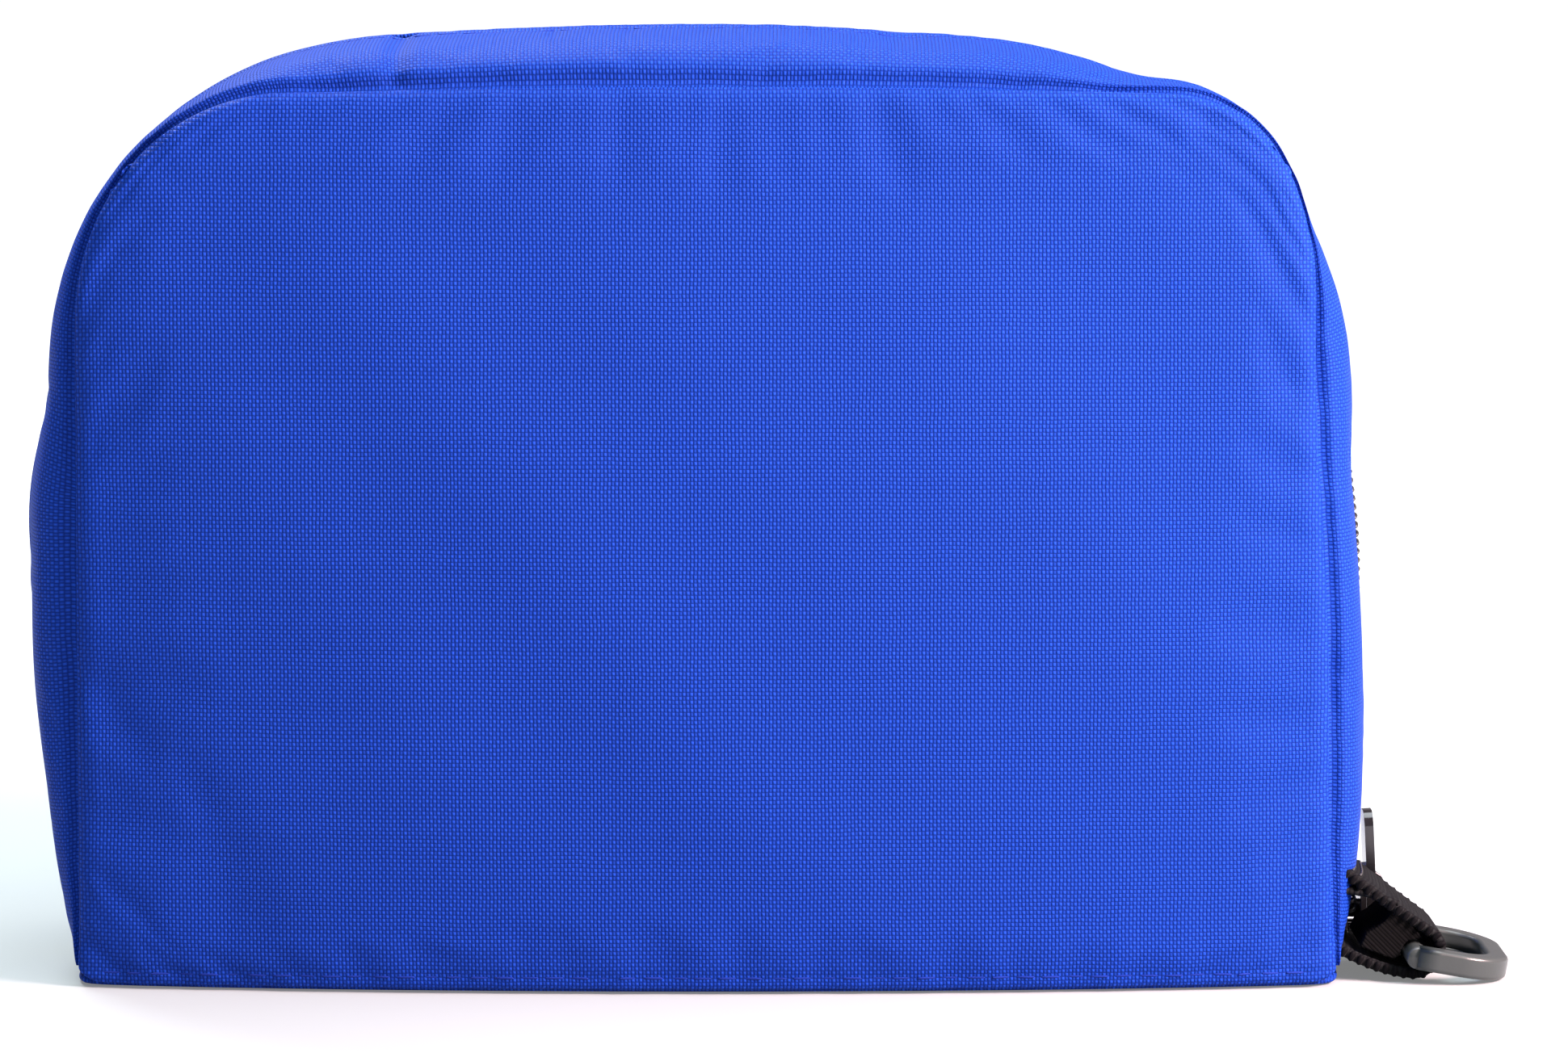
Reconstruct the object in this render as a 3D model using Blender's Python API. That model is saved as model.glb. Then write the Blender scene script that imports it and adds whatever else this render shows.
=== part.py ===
"""A soft zipped carrying case that stands upright: a rounded-D front and back panel, a bulging padded
gusset split by a coil zipper, a flat bottom, and a webbing tab with a D-ring at the lower right corner.
Lengths are in millimetres here and are turned into metres when a mesh is made. +Z is up, the front
panel faces -Y, and the origin is the middle of the flat underside."""

import math

import bmesh
import bpy
from mathutils import Vector

MM = 0.001
GAP = 0.3  # air left between neighbouring pieces

# Seam outline of the panels, and the outer ridge of the gusset halfway between them
SEAM_HALF_WIDTH = 101.5
SEAM_HALF_WIDTH_TOP = 99.6
SEAM_CORNER_FROM = 108.0
SEAM_TOP = 144.2
SEAM_CORNER_RX = 36.0
RIDGE_HALF_WIDTH = 108.6
RIDGE_CORNER_FROM = 96.0
RIDGE_TOP = 153.6
RIDGE_CORNER_RX = 66.0
CROWN = 1.2
SIDE_STEPS = 6
CORNER_STEPS = 7
TOP_STEPS = 4

# Depth
SEAM_Y = 31.0
FRONT_BULGE = 8.2
BACK_BULGE = 5.0
BOTTOM_SHARE = 0.9  # how much of a panel's bulge is left at its bottom edge

# Layers
FABRIC = 1.0
PANEL_FOAM = 3.0
LINING = 0.6
GUSSET = 2.0
BINDING = 0.7
BOTTOM = 2.0
BOARD = 2.5
WALL_FOOT = BOTTOM + 2 * GAP  # the gusset's lower ends stand just above the bottom panel

# Zipper, a size 5 coil
ZIP_EDGE_Y = 4.8  # the gusset fabric stops here on each side of the teeth
TAPE_WIDTH = 11.4
TAPE = 0.7
TAPE_DEPTH = 2.6  # below the ridge surface
COIL = 1.5
COIL_INNER_Y = 0.65
COIL_OUTER_Y = 2.6
ZIP_FOOT = 5.2  # the teeth end here, above the stops
STOP_HEIGHT = 2.0

# Slider and pull
SLIDER_Z = 9.8
SLIDER_LENGTH = 9.6
SLIDER_HALF_WIDTH = 3.9
SLIDER_PLATE = 1.1
SLIDER_POST = 0.7
BRIDGE_RISE = 3.4
BRIDGE_WIDTH = 2.4
PULL_PIVOT_Z = 8.4
PULL_LENGTH = 15.5
PULL_WIDTH = 6.6
PULL_THICK = 1.5
PULL_LEAN = 9.0

# Webbing tab and D-ring
WEBBING = 1.8
WEBBING_FROM_Y = -27.4
WEBBING_TO_Y = -8.6
UPPER_ROOT_Z = 17.6
LOWER_ROOT_Z = 5.2
STRIP_ROOT_Z = 12.2
STRIP_THICK = 1.3
WEBBING_ROLL = 9.0
BAR_X = 114.6
BAR_Z = 4.3
BAR_RADIUS = 1.85
LOOP_SLACK = 0.45
RING_WIDTH = 27.0
RING_REACH = 15.6
RING_THICK = 3.7
RING_TILT = 10.0


def material(name, colour, roughness=0.8, metallic=0.0):
    made = bpy.data.materials.new(name)
    made.use_nodes = True
    shader = made.node_tree.nodes["Principled BSDF"]
    shader.inputs["Base Color"].default_value = (*colour, 1)
    shader.inputs["Roughness"].default_value = roughness
    shader.inputs["Metallic"].default_value = metallic
    made.diffuse_color = (*colour, 1)
    return made


def add(name, points, faces, finish, pivot=(0, 0, 0), smooth=True):
    """A closed mesh object from points in millimetres, with its origin at pivot."""
    origin = Vector(pivot)
    mesh = bpy.data.meshes.new(name)
    mesh.from_pydata([(Vector(p) - origin) * MM for p in points], [], faces)
    shaped = bmesh.new()
    shaped.from_mesh(mesh)
    bmesh.ops.recalc_face_normals(shaped, faces=shaped.faces)
    shaped.to_mesh(mesh)
    shaped.free()
    mesh.polygons.foreach_set("use_smooth", [smooth] * len(mesh.polygons))
    mesh.materials.append(finish)
    made = bpy.data.objects.new(name, mesh)
    made.location = origin * MM
    bpy.context.scene.collection.objects.link(made)
    return made


def u_curve(half_width, half_width_top, foot, corner_from, top, rx):
    """Points (x, z) from the lower left end, up, across the top and down to the lower right end."""
    right = []
    for i in range(SIDE_STEPS):
        t = i / SIDE_STEPS
        x = half_width + (half_width_top - half_width) * t
        right.append((x, foot + (corner_from - foot) * t))
    for i in range(CORNER_STEPS):
        a = math.pi / 2 * i / CORNER_STEPS
        z = corner_from + (top - corner_from) * math.sin(a)
        right.append((half_width_top - rx + rx * math.cos(a), z))
    for i in range(TOP_STEPS + 1):
        t = 1 - i / TOP_STEPS
        right.append(((half_width_top - rx) * t, top + CROWN * (1 - t * t)))
    left = [(-x, z) for x, z in right[:-1]]
    return left + right[::-1]


def seam_curve(foot):
    return u_curve(SEAM_HALF_WIDTH, SEAM_HALF_WIDTH_TOP, foot, SEAM_CORNER_FROM, SEAM_TOP, SEAM_CORNER_RX)


def ridge_curve(foot):
    return u_curve(RIDGE_HALF_WIDTH, RIDGE_HALF_WIDTH, foot, RIDGE_CORNER_FROM, RIDGE_TOP, RIDGE_CORNER_RX)


def bulge_share(y):
    """0 at a seam, 1 at the ridge in the middle."""
    return 1 - (abs(y) / SEAM_Y) ** 2


def inward(curve, depth):
    """The curve moved towards the middle of the case by depth."""
    moved = []
    for i, (x, z) in enumerate(curve):
        before = curve[max(i - 1, 0)]
        after = curve[min(i + 1, len(curve) - 1)]
        tangent = Vector((after[0] - before[0], after[1] - before[1])).normalized()
        if i in (0, len(curve) - 1):
            tangent = Vector((0, 1 if i == 0 else -1))
        moved.append((x + tangent.y * depth, z - tangent.x * depth))
    return moved


def wall_curve(y, foot, depth=0.0):
    """The gusset's outer surface at depth y in the case, moved inwards by depth."""
    share = bulge_share(y)
    pairs = zip(seam_curve(foot), ridge_curve(foot))
    blend = [(a[0] + (b[0] - a[0]) * share, a[1] + (b[1] - a[1]) * share) for a, b in pairs]
    return inward(blend, depth)


def shell(name, outer, inner, finish):
    """A closed solid between two grids of points with the same rows and columns."""
    rows, columns = len(outer), len(outer[0])
    points = [p for row in outer for p in row] + [p for row in inner for p in row]
    size = rows * columns
    faces = []
    for i in range(rows - 1):
        for j in range(columns - 1):
            a = i * columns + j
            quad = (a, a + 1, a + columns + 1, a + columns)
            faces += [quad, tuple(size + v for v in reversed(quad))]
    for i in range(rows - 1):
        for j in (0, columns - 1):
            a, b = i * columns + j, (i + 1) * columns + j
            faces.append((a, b, size + b, size + a))
    for j in range(columns - 1):
        for i in (0, rows - 1):
            a, b = i * columns + j, i * columns + j + 1
            faces.append((a, b, size + b, size + a))
    return add(name, points, faces, finish)


def band(name, ys, depth, thick, finish, foot=WALL_FOOT, flat_to=0.0):
    """A strip that follows the gusset round the case, over the depths ys. Up to flat_to it keeps to the ridge."""
    grids = []
    for offset in (depth, depth + thick):
        columns = [wall_curve(0.0 if abs(y) <= flat_to else y, foot, offset) for y in ys]
        grids.append([[(x, y, z) for (x, z), y in zip(row, ys)] for row in zip(*columns)])
    return shell(name, grids[0], grids[1], finish)


def panel_outline(inset):
    """The closed outline of a panel, clockwise from its lower left corner, moved inwards by inset."""
    curve = inward(seam_curve(6.0), inset)
    left, right = curve[0][0], curve[-1][0]
    low = GAP * 2 + inset
    foot = [(right - 1.4, low + 1.6), (right - 4.6, low)]
    foot += [(right * t, low) for t in (0.72, 0.48, 0.24, 0, -0.24, -0.48, -0.72)]
    foot += [(left + 4.6, low), (left + 1.4, low + 1.6)]
    return curve + foot


def panel_bulge(x, z, most):
    """How far a panel stands out in front of its seam."""
    across = max(0.0, 1 - (x / SEAM_HALF_WIDTH) ** 2)
    t = min(1.0, max(0.0, z / SEAM_TOP))
    height = BOTTOM_SHARE + (1 - BOTTOM_SHARE) * math.sin(math.pi * min(1, t * 1.4) / 2)
    return most * across**0.8 * height * (1 - t**2.6)


def plate(name, side, most, depth, thick, inset, finish):
    """One layer of a panel. side is -1 at the front and 1 at the back."""
    outline = panel_outline(inset)
    centre = (0.0, 66.0)
    shares = (1.0, 0.86, 0.62, 0.32)
    count = len(outline)
    points, faces = [], []
    for level in (depth, depth + thick):
        start = len(points)
        for share in shares:
            for x, z in outline:
                px = centre[0] + (x - centre[0]) * share
                pz = centre[1] + (z - centre[1]) * share
                out = SEAM_Y + FABRIC + panel_bulge(px, pz, most) - level
                points.append((px, side * out, pz))
        points.append((*centre[:1], side * (SEAM_Y + FABRIC + panel_bulge(*centre, most) - level), centre[1]))
        for k in range(len(shares) - 1):
            for i in range(count):
                a, b = start + k * count + i, start + k * count + (i + 1) % count
                faces.append((a, b, b + count, a + count))
        last, middle = start + (len(shares) - 1) * count, len(points) - 1
        faces += [(last + i, last + (i + 1) % count, middle) for i in range(count)]
    half = len(points) // 2
    faces += [(i, (i + 1) % count, half + (i + 1) % count, half + i) for i in range(count)]
    return add(name, points, faces, finish)


def floor_outline(inset, front_back):
    """The closed outline of a bottom layer. The sides follow the gusset's bulge."""
    edge = front_back
    xs = [SEAM_HALF_WIDTH * t for t in (-0.97, -0.75, -0.5, -0.25, 0, 0.25, 0.5, 0.75, 0.97)]
    ys = [(edge - 1.5) * t for t in (-0.9, -0.6, -0.2, 0.2, 0.6, 0.9)]
    side = [(RIDGE_HALF_WIDTH - SEAM_HALF_WIDTH) * bulge_share(y) + SEAM_HALF_WIDTH - inset for y in ys]
    front = [(x, -edge - panel_bulge(x, 0, FRONT_BULGE)) for x in xs]
    back = [(x, edge + panel_bulge(x, 0, BACK_BULGE)) for x in reversed(xs)]
    if inset > 1:
        front = [(x * (1 - inset / 100), y) for x, y in front]
        back = [(x * (1 - inset / 100), y) for x, y in back]
    right = list(zip(side, ys))
    left = [(-x, y) for x, y in reversed(right)]
    return front + right + back + left


def slab(name, outline, low, high, finish):
    count = len(outline)
    points = [(x, y, z) for z in (low, high) for x, y in outline]
    faces = [tuple(range(count)), tuple(range(count, 2 * count))]
    faces += [(i, (i + 1) % count, count + (i + 1) % count, count + i) for i in range(count)]
    return add(name, points, faces, finish, smooth=False)


def block(name, low, high, finish, pivot=(0, 0, 0)):
    x0, y0, z0 = low
    x1, y1, z1 = high
    points = [(x, y, z) for x in (x0, x1) for y in (y0, y1) for z in (z0, z1)]
    faces = [(0, 1, 3, 2), (4, 5, 7, 6), (0, 1, 5, 4), (2, 3, 7, 6), (0, 2, 6, 4), (1, 3, 7, 5)]
    return add(name, points, faces, finish, pivot, smooth=False)


def prism(name, outline, place, low, high, finish, pivot=(0, 0, 0), smooth=False):
    """A flat outline of (a, b) pairs, given depth between low and high by place(a, b, depth)."""
    count = len(outline)
    points = [place(a, b, d) for d in (low, high) for a, b in outline]
    faces = [tuple(range(count)), tuple(range(count, 2 * count))]
    faces += [(i, (i + 1) % count, count + (i + 1) % count, count + i) for i in range(count)]
    return add(name, points, faces, finish, pivot, smooth)


def join(target, *others):
    """Unites others with target; they stay in the file as hidden helpers."""
    for other in others:
        other.hide_render = True
        other.display_type = "WIRE"
        union = target.modifiers.new("Join", "BOOLEAN")
        union.operation = "UNION"
        union.solver = "EXACT"
        union.object = other
    return target


def zipper_half(side, name, finish_tape, finish_coil):
    """The tape and teeth on one side of the opening. side is -1 for the front half."""
    flat = ZIP_EDGE_Y - 0.6
    tape_ys = [side * y for y in (COIL_INNER_Y, flat, 8.2, COIL_INNER_Y + TAPE_WIDTH)]
    coil_ys = [side * COIL_INNER_Y, side * COIL_OUTER_Y]
    band(name + "_zipper_tape", tape_ys, TAPE_DEPTH, TAPE, finish_tape, ZIP_FOOT - STOP_HEIGHT, flat)
    band(name + "_zipper_coil", coil_ys, TAPE_DEPTH - GAP - COIL, COIL, finish_coil, ZIP_FOOT, flat)


def half_case(side, name, most, cloth, foam, lining, edging):
    """Everything soft on one side of the zipper."""
    plate(name + "_panel", side, most, 0, FABRIC, 0, cloth)
    foam_depth = FABRIC + GAP
    plate(name + "_foam", side, most, foam_depth, PANEL_FOAM, 3.4, foam)
    plate(name + "_lining", side, most, foam_depth + PANEL_FOAM + GAP, LINING, 3.8, lining)
    start = SEAM_Y - GAP
    ys = [side * (start + (ZIP_EDGE_Y - start) * t) for t in (0, 0.2, 0.45, 0.72, 1)]
    band(name + "_gusset", ys, 0, GUSSET, cloth)
    inner = GUSSET + GAP
    foot = BOTTOM + BOARD + LINING + 4 * GAP
    ys = [side * y for y in (25.0, 19.0, 12.9)]
    band(name + "_gusset_lining", ys, inner, LINING, lining, foot)
    ys = [side * y for y in (25.0, 21.5, 18.0)]
    band(name + "_seam_binding", ys, inner + LINING + GAP, BINDING, edging, foot)


def slider(finish):
    outer = RIDGE_HALF_WIDTH - TAPE_DEPTH + GAP + COIL + GAP
    inner = RIDGE_HALF_WIDTH - TAPE_DEPTH - TAPE - GAP
    half, low, high = SLIDER_HALF_WIDTH, -SLIDER_LENGTH / 2, SLIDER_LENGTH / 2
    shape = [(-half * 0.72, low), (half * 0.72, low), (half, low + 2.6), (half, low + 4.4)]
    shape += [(half * 0.7, high - 0.6), (half * 0.5, high), (-half * 0.5, high), (-half * 0.7, high - 0.6)]
    shape += [(-half, low + 4.4), (-half, low + 2.6)]
    pivot = (RIDGE_HALF_WIDTH, 0, SLIDER_Z)

    def place(y, z, x):
        return (x, y, SLIDER_Z + z)

    body = prism("slider_body", shape, place, outer, outer + SLIDER_PLATE, finish, pivot)
    under = prism("slider_under", shape, place, inner - SLIDER_PLATE, inner, finish, pivot)
    thin = SLIDER_POST / 2
    post = block("slider_post", (inner - 0.5, -thin, SLIDER_Z + low + 0.6), (outer + 0.5, thin, SLIDER_Z + low + 3.4), finish, pivot)
    top = outer + SLIDER_PLATE
    rise = BRIDGE_RISE
    arch = [(top - 0.5, -3.6), (top + rise - 0.8, -3.3), (top + rise, -2.4), (top + rise, 1.6)]
    arch += [(top + rise - 1.0, 3.2), (top - 0.5, 4.0), (top - 0.5, 2.8), (top + rise - 1.6, 2.2)]
    arch += [(top + rise - 0.9, 1.0), (top + rise - 0.9, -2.0), (top + rise - 1.3, -2.5), (top - 0.5, -2.6)]

    def stand(x, z, y):
        return (x, y, SLIDER_Z + z)

    bridge = prism("slider_bridge", arch, stand, -BRIDGE_WIDTH / 2, BRIDGE_WIDTH / 2, finish, pivot)
    return join(body, under, post, bridge)


def rounded_bar(half_width, low, high, radius, steps=5):
    """An outline that is square at low and rounded at high."""
    points = [(-half_width, low), (half_width, low)]
    for i in range(steps + 1):
        a = math.pi / 2 * i / steps
        points.append((half_width - radius + radius * math.cos(a), high - radius + radius * math.sin(a)))
    for i in range(steps + 1):
        a = math.pi / 2 * (1 + i / steps)
        points.append((-half_width + radius + radius * math.cos(a), high - radius + radius * math.sin(a)))
    return points


def pull_tab(finish):
    """A flat tab with a hole round the bridge. It points up and leans a little away from the case."""
    top = RIDGE_HALF_WIDTH - TAPE_DEPTH + 2 * GAP + COIL + SLIDER_PLATE
    pivot = Vector((top + BRIDGE_RISE - 0.9 - 1.1, 0, PULL_PIVOT_Z))
    turn = math.radians(PULL_LEAN)

    def place(y, s, d):
        return (pivot.x + s * math.sin(turn) + d * math.cos(turn), y, pivot.z + s * math.cos(turn) - d * math.sin(turn))

    half = PULL_THICK / 2
    tab = prism("pull_tab", rounded_bar(PULL_WIDTH / 2, 6.0, PULL_LENGTH, 2.6), place, -half, half, finish, pivot)
    cheeks = []
    for side in (-1, 1):
        edge = [(side * 1.75, -0.7), (side * 3.1, -0.7), (side * 3.1, 6.6), (side * 1.75, 6.6)]
        cheeks.append(prism("pull_cheek", edge, place, -0.65, 0.65, finish, pivot))
    pin = [(-2.2, -0.65), (2.2, -0.65), (2.2, 0.65), (-2.2, 0.65)]
    cheeks.append(prism("pull_pin", pin, place, -0.6, 0.6, finish, pivot))
    return join(tab, *cheeks)


def wall_x(y, z):
    """The gusset's outer surface on the right side, near the bottom."""
    t = (z - WALL_FOOT) / (SEAM_CORNER_FROM - WALL_FOOT)
    seam = SEAM_HALF_WIDTH + (SEAM_HALF_WIDTH_TOP - SEAM_HALF_WIDTH) * t
    return seam + (RIDGE_HALF_WIDTH - seam) * bulge_share(y)


def strap(name, ys, line, thick, finish):
    """Webbing extruded over the depths ys. line(y) gives its middle line as (x, z) points."""
    outer, inner = [], []
    for y in ys:
        points = line(y)
        normals = []
        for i in range(len(points)):
            a, b = points[max(i - 1, 0)], points[min(i + 1, len(points) - 1)]
            along = Vector((b[0] - a[0], b[1] - a[1])).normalized()
            normals.append(Vector((-along.y, along.x)) * thick / 2)
        outer.append([(p[0] + n.x, y, p[1] + n.y) for p, n in zip(points, normals)])
        inner.append([(p[0] - n.x, y, p[1] - n.y) for p, n in zip(points, normals)])
    return shell(name, outer, inner, finish)


def roll(y):
    """The webbing's far edge is a little higher where it's sewn on."""
    middle = (WEBBING_FROM_Y + WEBBING_TO_Y) / 2
    return (y - middle) * math.tan(math.radians(WEBBING_ROLL))


def loop_line(y):
    radius = BAR_RADIUS + LOOP_SLACK + WEBBING / 2
    start_z = UPPER_ROOT_Z + roll(y)
    start = (wall_x(y, start_z) + GAP + WEBBING * 0.55, start_z)
    end_z = LOWER_ROOT_Z + roll(y) * 0.3
    end = (wall_x(y, end_z) + GAP + 0.4, end_z)
    turn = [math.radians(a) for a in range(46, -91, -17)]
    bend = [(BAR_X + radius * math.cos(a), BAR_Z + radius * math.sin(a)) for a in turn]
    first = bend[0]
    upper = [(start[0] + (first[0] - start[0]) * t, start[1] + (first[1] - start[1]) * t) for t in (0, 0.35, 0.7)]
    last = bend[-1]
    lower = [(last[0] + (end[0] - last[0]) * t, last[1] + (end[1] - last[1]) * t**1.5) for t in (0.3, 0.65, 1)]
    return upper + bend + lower


def strip_line(y):
    start_z = STRIP_ROOT_Z + roll(y)
    start = (wall_x(y, start_z) + GAP + 0.5, start_z)
    end = (BAR_X - 3.4, BAR_Z + 3.9)
    return [(start[0] + (end[0] - start[0]) * t, start[1] + (end[1] - start[1]) * t) for t in (0, 0.5, 1)]


def ring_outline(half_width, near, far, radius, steps=6):
    """A D in its own plane: (x, y) with the straight bar at near."""
    points = [(near, -half_width)]
    for i in range(steps + 1):
        a = math.pi / 2 * (i / steps - 1)
        points.append((far - radius + radius * math.cos(a), -half_width + radius + radius * math.sin(a)))
    for i in range(steps + 1):
        a = math.pi / 2 * i / steps
        points.append((far - radius + radius * math.cos(a), half_width - radius + radius * math.sin(a)))
    return points + [(near, half_width)]


def d_ring(finish):
    """The straight bar is round, so that it turns in the webbing; the bow is a flat bar with broken edges."""
    middle = -18.0
    turn = math.radians(-RING_TILT)

    def place(x, y, d):
        px = BAR_X + x * math.cos(turn) - d * math.sin(turn)
        pz = BAR_Z + x * math.sin(turn) + d * math.cos(turn)
        return (px, middle + y, pz)

    half, thick = RING_WIDTH / 2, RING_THICK
    outer = ring_outline(half, 0, RING_REACH, 8.5)
    inner = ring_outline(half - thick, 0, RING_REACH - thick, 5.0)
    count = len(outer)
    edge = 0.7
    profile = [(edge, -thick / 2), (0, -thick / 2 + edge), (0, thick / 2 - edge), (edge, thick / 2)]
    profile += [(thick - edge, thick / 2), (thick, thick / 2 - edge), (thick, -thick / 2 + edge), (thick - edge, -thick / 2)]
    points, faces = [], []
    for (ox, oy), (ix, iy) in zip(outer, inner):
        for across, d in profile:
            t = across / thick
            points.append(place(ox + (ix - ox) * t, oy + (iy - oy) * t, d))
    size = len(profile)
    for i in range(count - 1):
        for j in range(size):
            a, b = i * size + j, i * size + (j + 1) % size
            faces.append((a, b, b + size, a + size))
    faces += [tuple(range(size)), tuple(range((count - 1) * size, count * size))]
    pivot = (BAR_X, middle, BAR_Z)
    ring = add("d_ring", points, faces, finish, pivot, smooth=False)
    circle = [(BAR_RADIUS * math.cos(a), BAR_RADIUS * math.sin(a)) for a in [math.pi * k / 7 for k in range(14)]]

    def lie(x, d, y):
        return place(x, y, d)

    bar = prism("ring_bar", circle, lie, -half + 0.9, half - 0.9, finish, pivot, smooth=False)
    return join(ring, bar)


def build():
    for old in list(bpy.data.objects):
        bpy.data.objects.remove(old)
    cloth = material("blue_polyester", (0.045, 0.10, 0.55), 0.85)
    foam = material("foam", (0.35, 0.36, 0.38), 0.95)
    lining = material("lining", (0.03, 0.04, 0.09), 0.8)
    edging = material("binding", (0.01, 0.012, 0.02), 0.8)
    tape = material("zipper_tape", (0.012, 0.013, 0.016), 0.85)
    coil = material("coil_nylon", (0.012, 0.012, 0.014), 0.45)
    board = material("board", (0.10, 0.10, 0.11), 0.7)
    black_metal = material("black_metal", (0.03, 0.03, 0.034), 0.25, 0.8)
    webbing = material("webbing", (0.012, 0.012, 0.014), 0.8)
    ring_plastic = material("ring_plastic", (0.05, 0.052, 0.056), 0.4)

    half_case(-1, "front", FRONT_BULGE, cloth, foam, lining, edging)
    half_case(1, "back", BACK_BULGE, cloth, foam, lining, edging)
    zipper_half(-1, "front", tape, coil)
    zipper_half(1, "back", tape, coil)

    slab("bottom_panel", floor_outline(0.4, SEAM_Y - GAP), 0, BOTTOM, cloth)
    inside = SEAM_Y + FABRIC - (FABRIC + PANEL_FOAM + LINING + 3 * GAP)
    low = BOTTOM + GAP
    slab("bottom_board", floor_outline(7.6, inside), low, low + BOARD, board)
    low += BOARD + GAP
    slab("bottom_lining", floor_outline(7.6, inside), low, low + LINING, lining)

    deep = RIDGE_HALF_WIDTH - TAPE_DEPTH + GAP
    low, high = ZIP_FOOT - STOP_HEIGHT, ZIP_FOOT - GAP
    inner, outer = COIL_INNER_Y, COIL_OUTER_Y
    block("front_zipper_stop", (deep, -outer, low), (deep + COIL, -inner, high), black_metal)
    block("back_zipper_stop", (deep, inner, low), (deep + COIL, outer, high), black_metal)
    block("zipper_end_stop", (-deep - COIL, inner, low), (-deep, outer, high), black_metal)

    slider(black_metal)
    pull_tab(black_metal)
    reach = WEBBING_TO_Y - WEBBING_FROM_Y
    ys = [WEBBING_FROM_Y + reach * t for t in (0, 0.33, 0.67, 1)]
    strap("webbing_loop", ys, loop_line, WEBBING, webbing)
    strap("tab_inner_strip", ys, strip_line, STRIP_THICK, webbing)
    d_ring(ring_plastic)


build()
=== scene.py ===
import math

import bmesh
import bpy
import numpy as np
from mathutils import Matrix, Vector


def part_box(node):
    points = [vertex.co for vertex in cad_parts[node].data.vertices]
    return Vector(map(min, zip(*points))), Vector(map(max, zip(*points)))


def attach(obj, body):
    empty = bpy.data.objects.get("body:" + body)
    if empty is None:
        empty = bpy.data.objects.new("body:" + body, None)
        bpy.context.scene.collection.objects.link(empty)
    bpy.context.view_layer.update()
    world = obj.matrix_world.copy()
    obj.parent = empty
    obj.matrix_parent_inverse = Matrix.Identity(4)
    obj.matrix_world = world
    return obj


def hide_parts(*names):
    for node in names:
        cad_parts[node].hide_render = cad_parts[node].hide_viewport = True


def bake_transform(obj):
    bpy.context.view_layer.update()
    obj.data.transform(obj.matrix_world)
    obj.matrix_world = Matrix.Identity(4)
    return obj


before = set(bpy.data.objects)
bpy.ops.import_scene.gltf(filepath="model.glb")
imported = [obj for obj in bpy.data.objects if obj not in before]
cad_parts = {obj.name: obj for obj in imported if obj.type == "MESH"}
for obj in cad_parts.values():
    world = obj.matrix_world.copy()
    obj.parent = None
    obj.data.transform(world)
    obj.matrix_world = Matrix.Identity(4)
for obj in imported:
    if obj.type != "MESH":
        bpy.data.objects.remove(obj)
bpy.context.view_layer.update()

MM = 0.001
TAU = 2 * math.pi
RNG = np.random.default_rng(7)

# Places read off the frame
SEAM_Y = -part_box("front_gusset")[0].y  # half the depth between the two seams
ZIP_EDGE_Y = -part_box("front_gusset")[1].y  # where the gusset cloth stops beside the teeth
SEAM_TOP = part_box("front_panel")[1].z
SEAM_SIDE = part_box("front_panel")[1].x
RIDGE_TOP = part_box("front_gusset")[1].z
RIDGE_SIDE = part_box("front_gusset")[1].x
PANEL_FRONT = -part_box("front_panel")[0].y
PANEL_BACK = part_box("back_panel")[1].y
WALL_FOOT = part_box("front_gusset")[0].z
TAPE_DEPTH = RIDGE_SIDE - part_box("back_zipper_tape")[1].x

# Layers, as in the frame
PANEL_CLOTH = 1.0 * MM
GUSSET_CLOTH = 2.0 * MM
TAPE = 0.7 * MM

# The cloth's own unevenness: each side of the outline as it really stands
SEAM_LEFT = dict(foot=102.3, waist=102.0, waist_z=40, side=101.5, corner_z=106, rx=34, power=2.0)
SEAM_RIGHT = dict(foot=101.7, waist=99.9, waist_z=44, side=97.1, corner_z=105, rx=27, power=2.5)
RIDGE_LEFT = dict(foot=103.0, waist=112.6, waist_z=77, side=108.2, corner_z=98, rx=60, power=2.05)
RIDGE_RIGHT = dict(foot=102.2, waist=107.8, waist_z=38, side=105.4, corner_z=92, rx=72, power=2.1)
TRACK_RIGHT = dict(foot=108.5, waist=108.5, waist_z=66, side=106.0, corner_z=92, rx=72, power=2.1)
SIDE_SHARE, CORNER_SHARE = 0.24, 0.18  # of the way round: a side, a corner; the rest is the top
CURVE_POINTS = 900
SEAM_CROWN = 1.0 * MM  # how much the top's middle rises above its corners
RIDGE_CROWN = 1.6 * MM
SEAM_INSET = 1.3 * MM  # how far the seam lies inside the panel's box, at its top and front
GROOVE = 1.5 * MM  # how far behind the seam the padding starts
LEAST_RISE = 1.4 * MM  # the ridge's least height over the seam
MATCH_ROUNDS = 60  # how often a matched outline is smoothed


# ---- outlines


def half_outline(foot_z, top, crown, foot, waist, waist_z, side, corner_z, rx, power):
    """One half of the outline from its foot to the middle of the top, as x (positive) and z, in metres."""
    n_side = int(CURVE_POINTS * SIDE_SHARE)
    n_corner = int(CURVE_POINTS * CORNER_SHARE)
    n_top = CURVE_POINTS // 2 - n_side - n_corner
    z = np.linspace(foot_z, corner_z * MM, n_side, endpoint=False)
    low = 1 - np.clip(1 - z / (waist_z * MM), 0, 1) ** 2.4
    high = np.clip((z / MM - waist_z) / (corner_z - waist_z), 0, 1)
    high = high * high * (3 - 2 * high)
    x = (foot + (waist - foot) * low + (side - waist) * high) * MM
    a = np.linspace(0, math.pi / 2, n_corner, endpoint=False)
    cx = (side - rx) * MM
    corner_x = cx + rx * MM * np.cos(a) ** (2 / power)
    corner_zs = corner_z * MM + (top - corner_z * MM) * np.sin(a) ** (2 / power)
    t = np.linspace(1, 0, n_top + 1)
    top_x = cx * t
    top_z = top + crown * (1 - t * t)
    return np.concatenate([x, corner_x, top_x]), np.concatenate([z, corner_zs, top_z])


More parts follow.
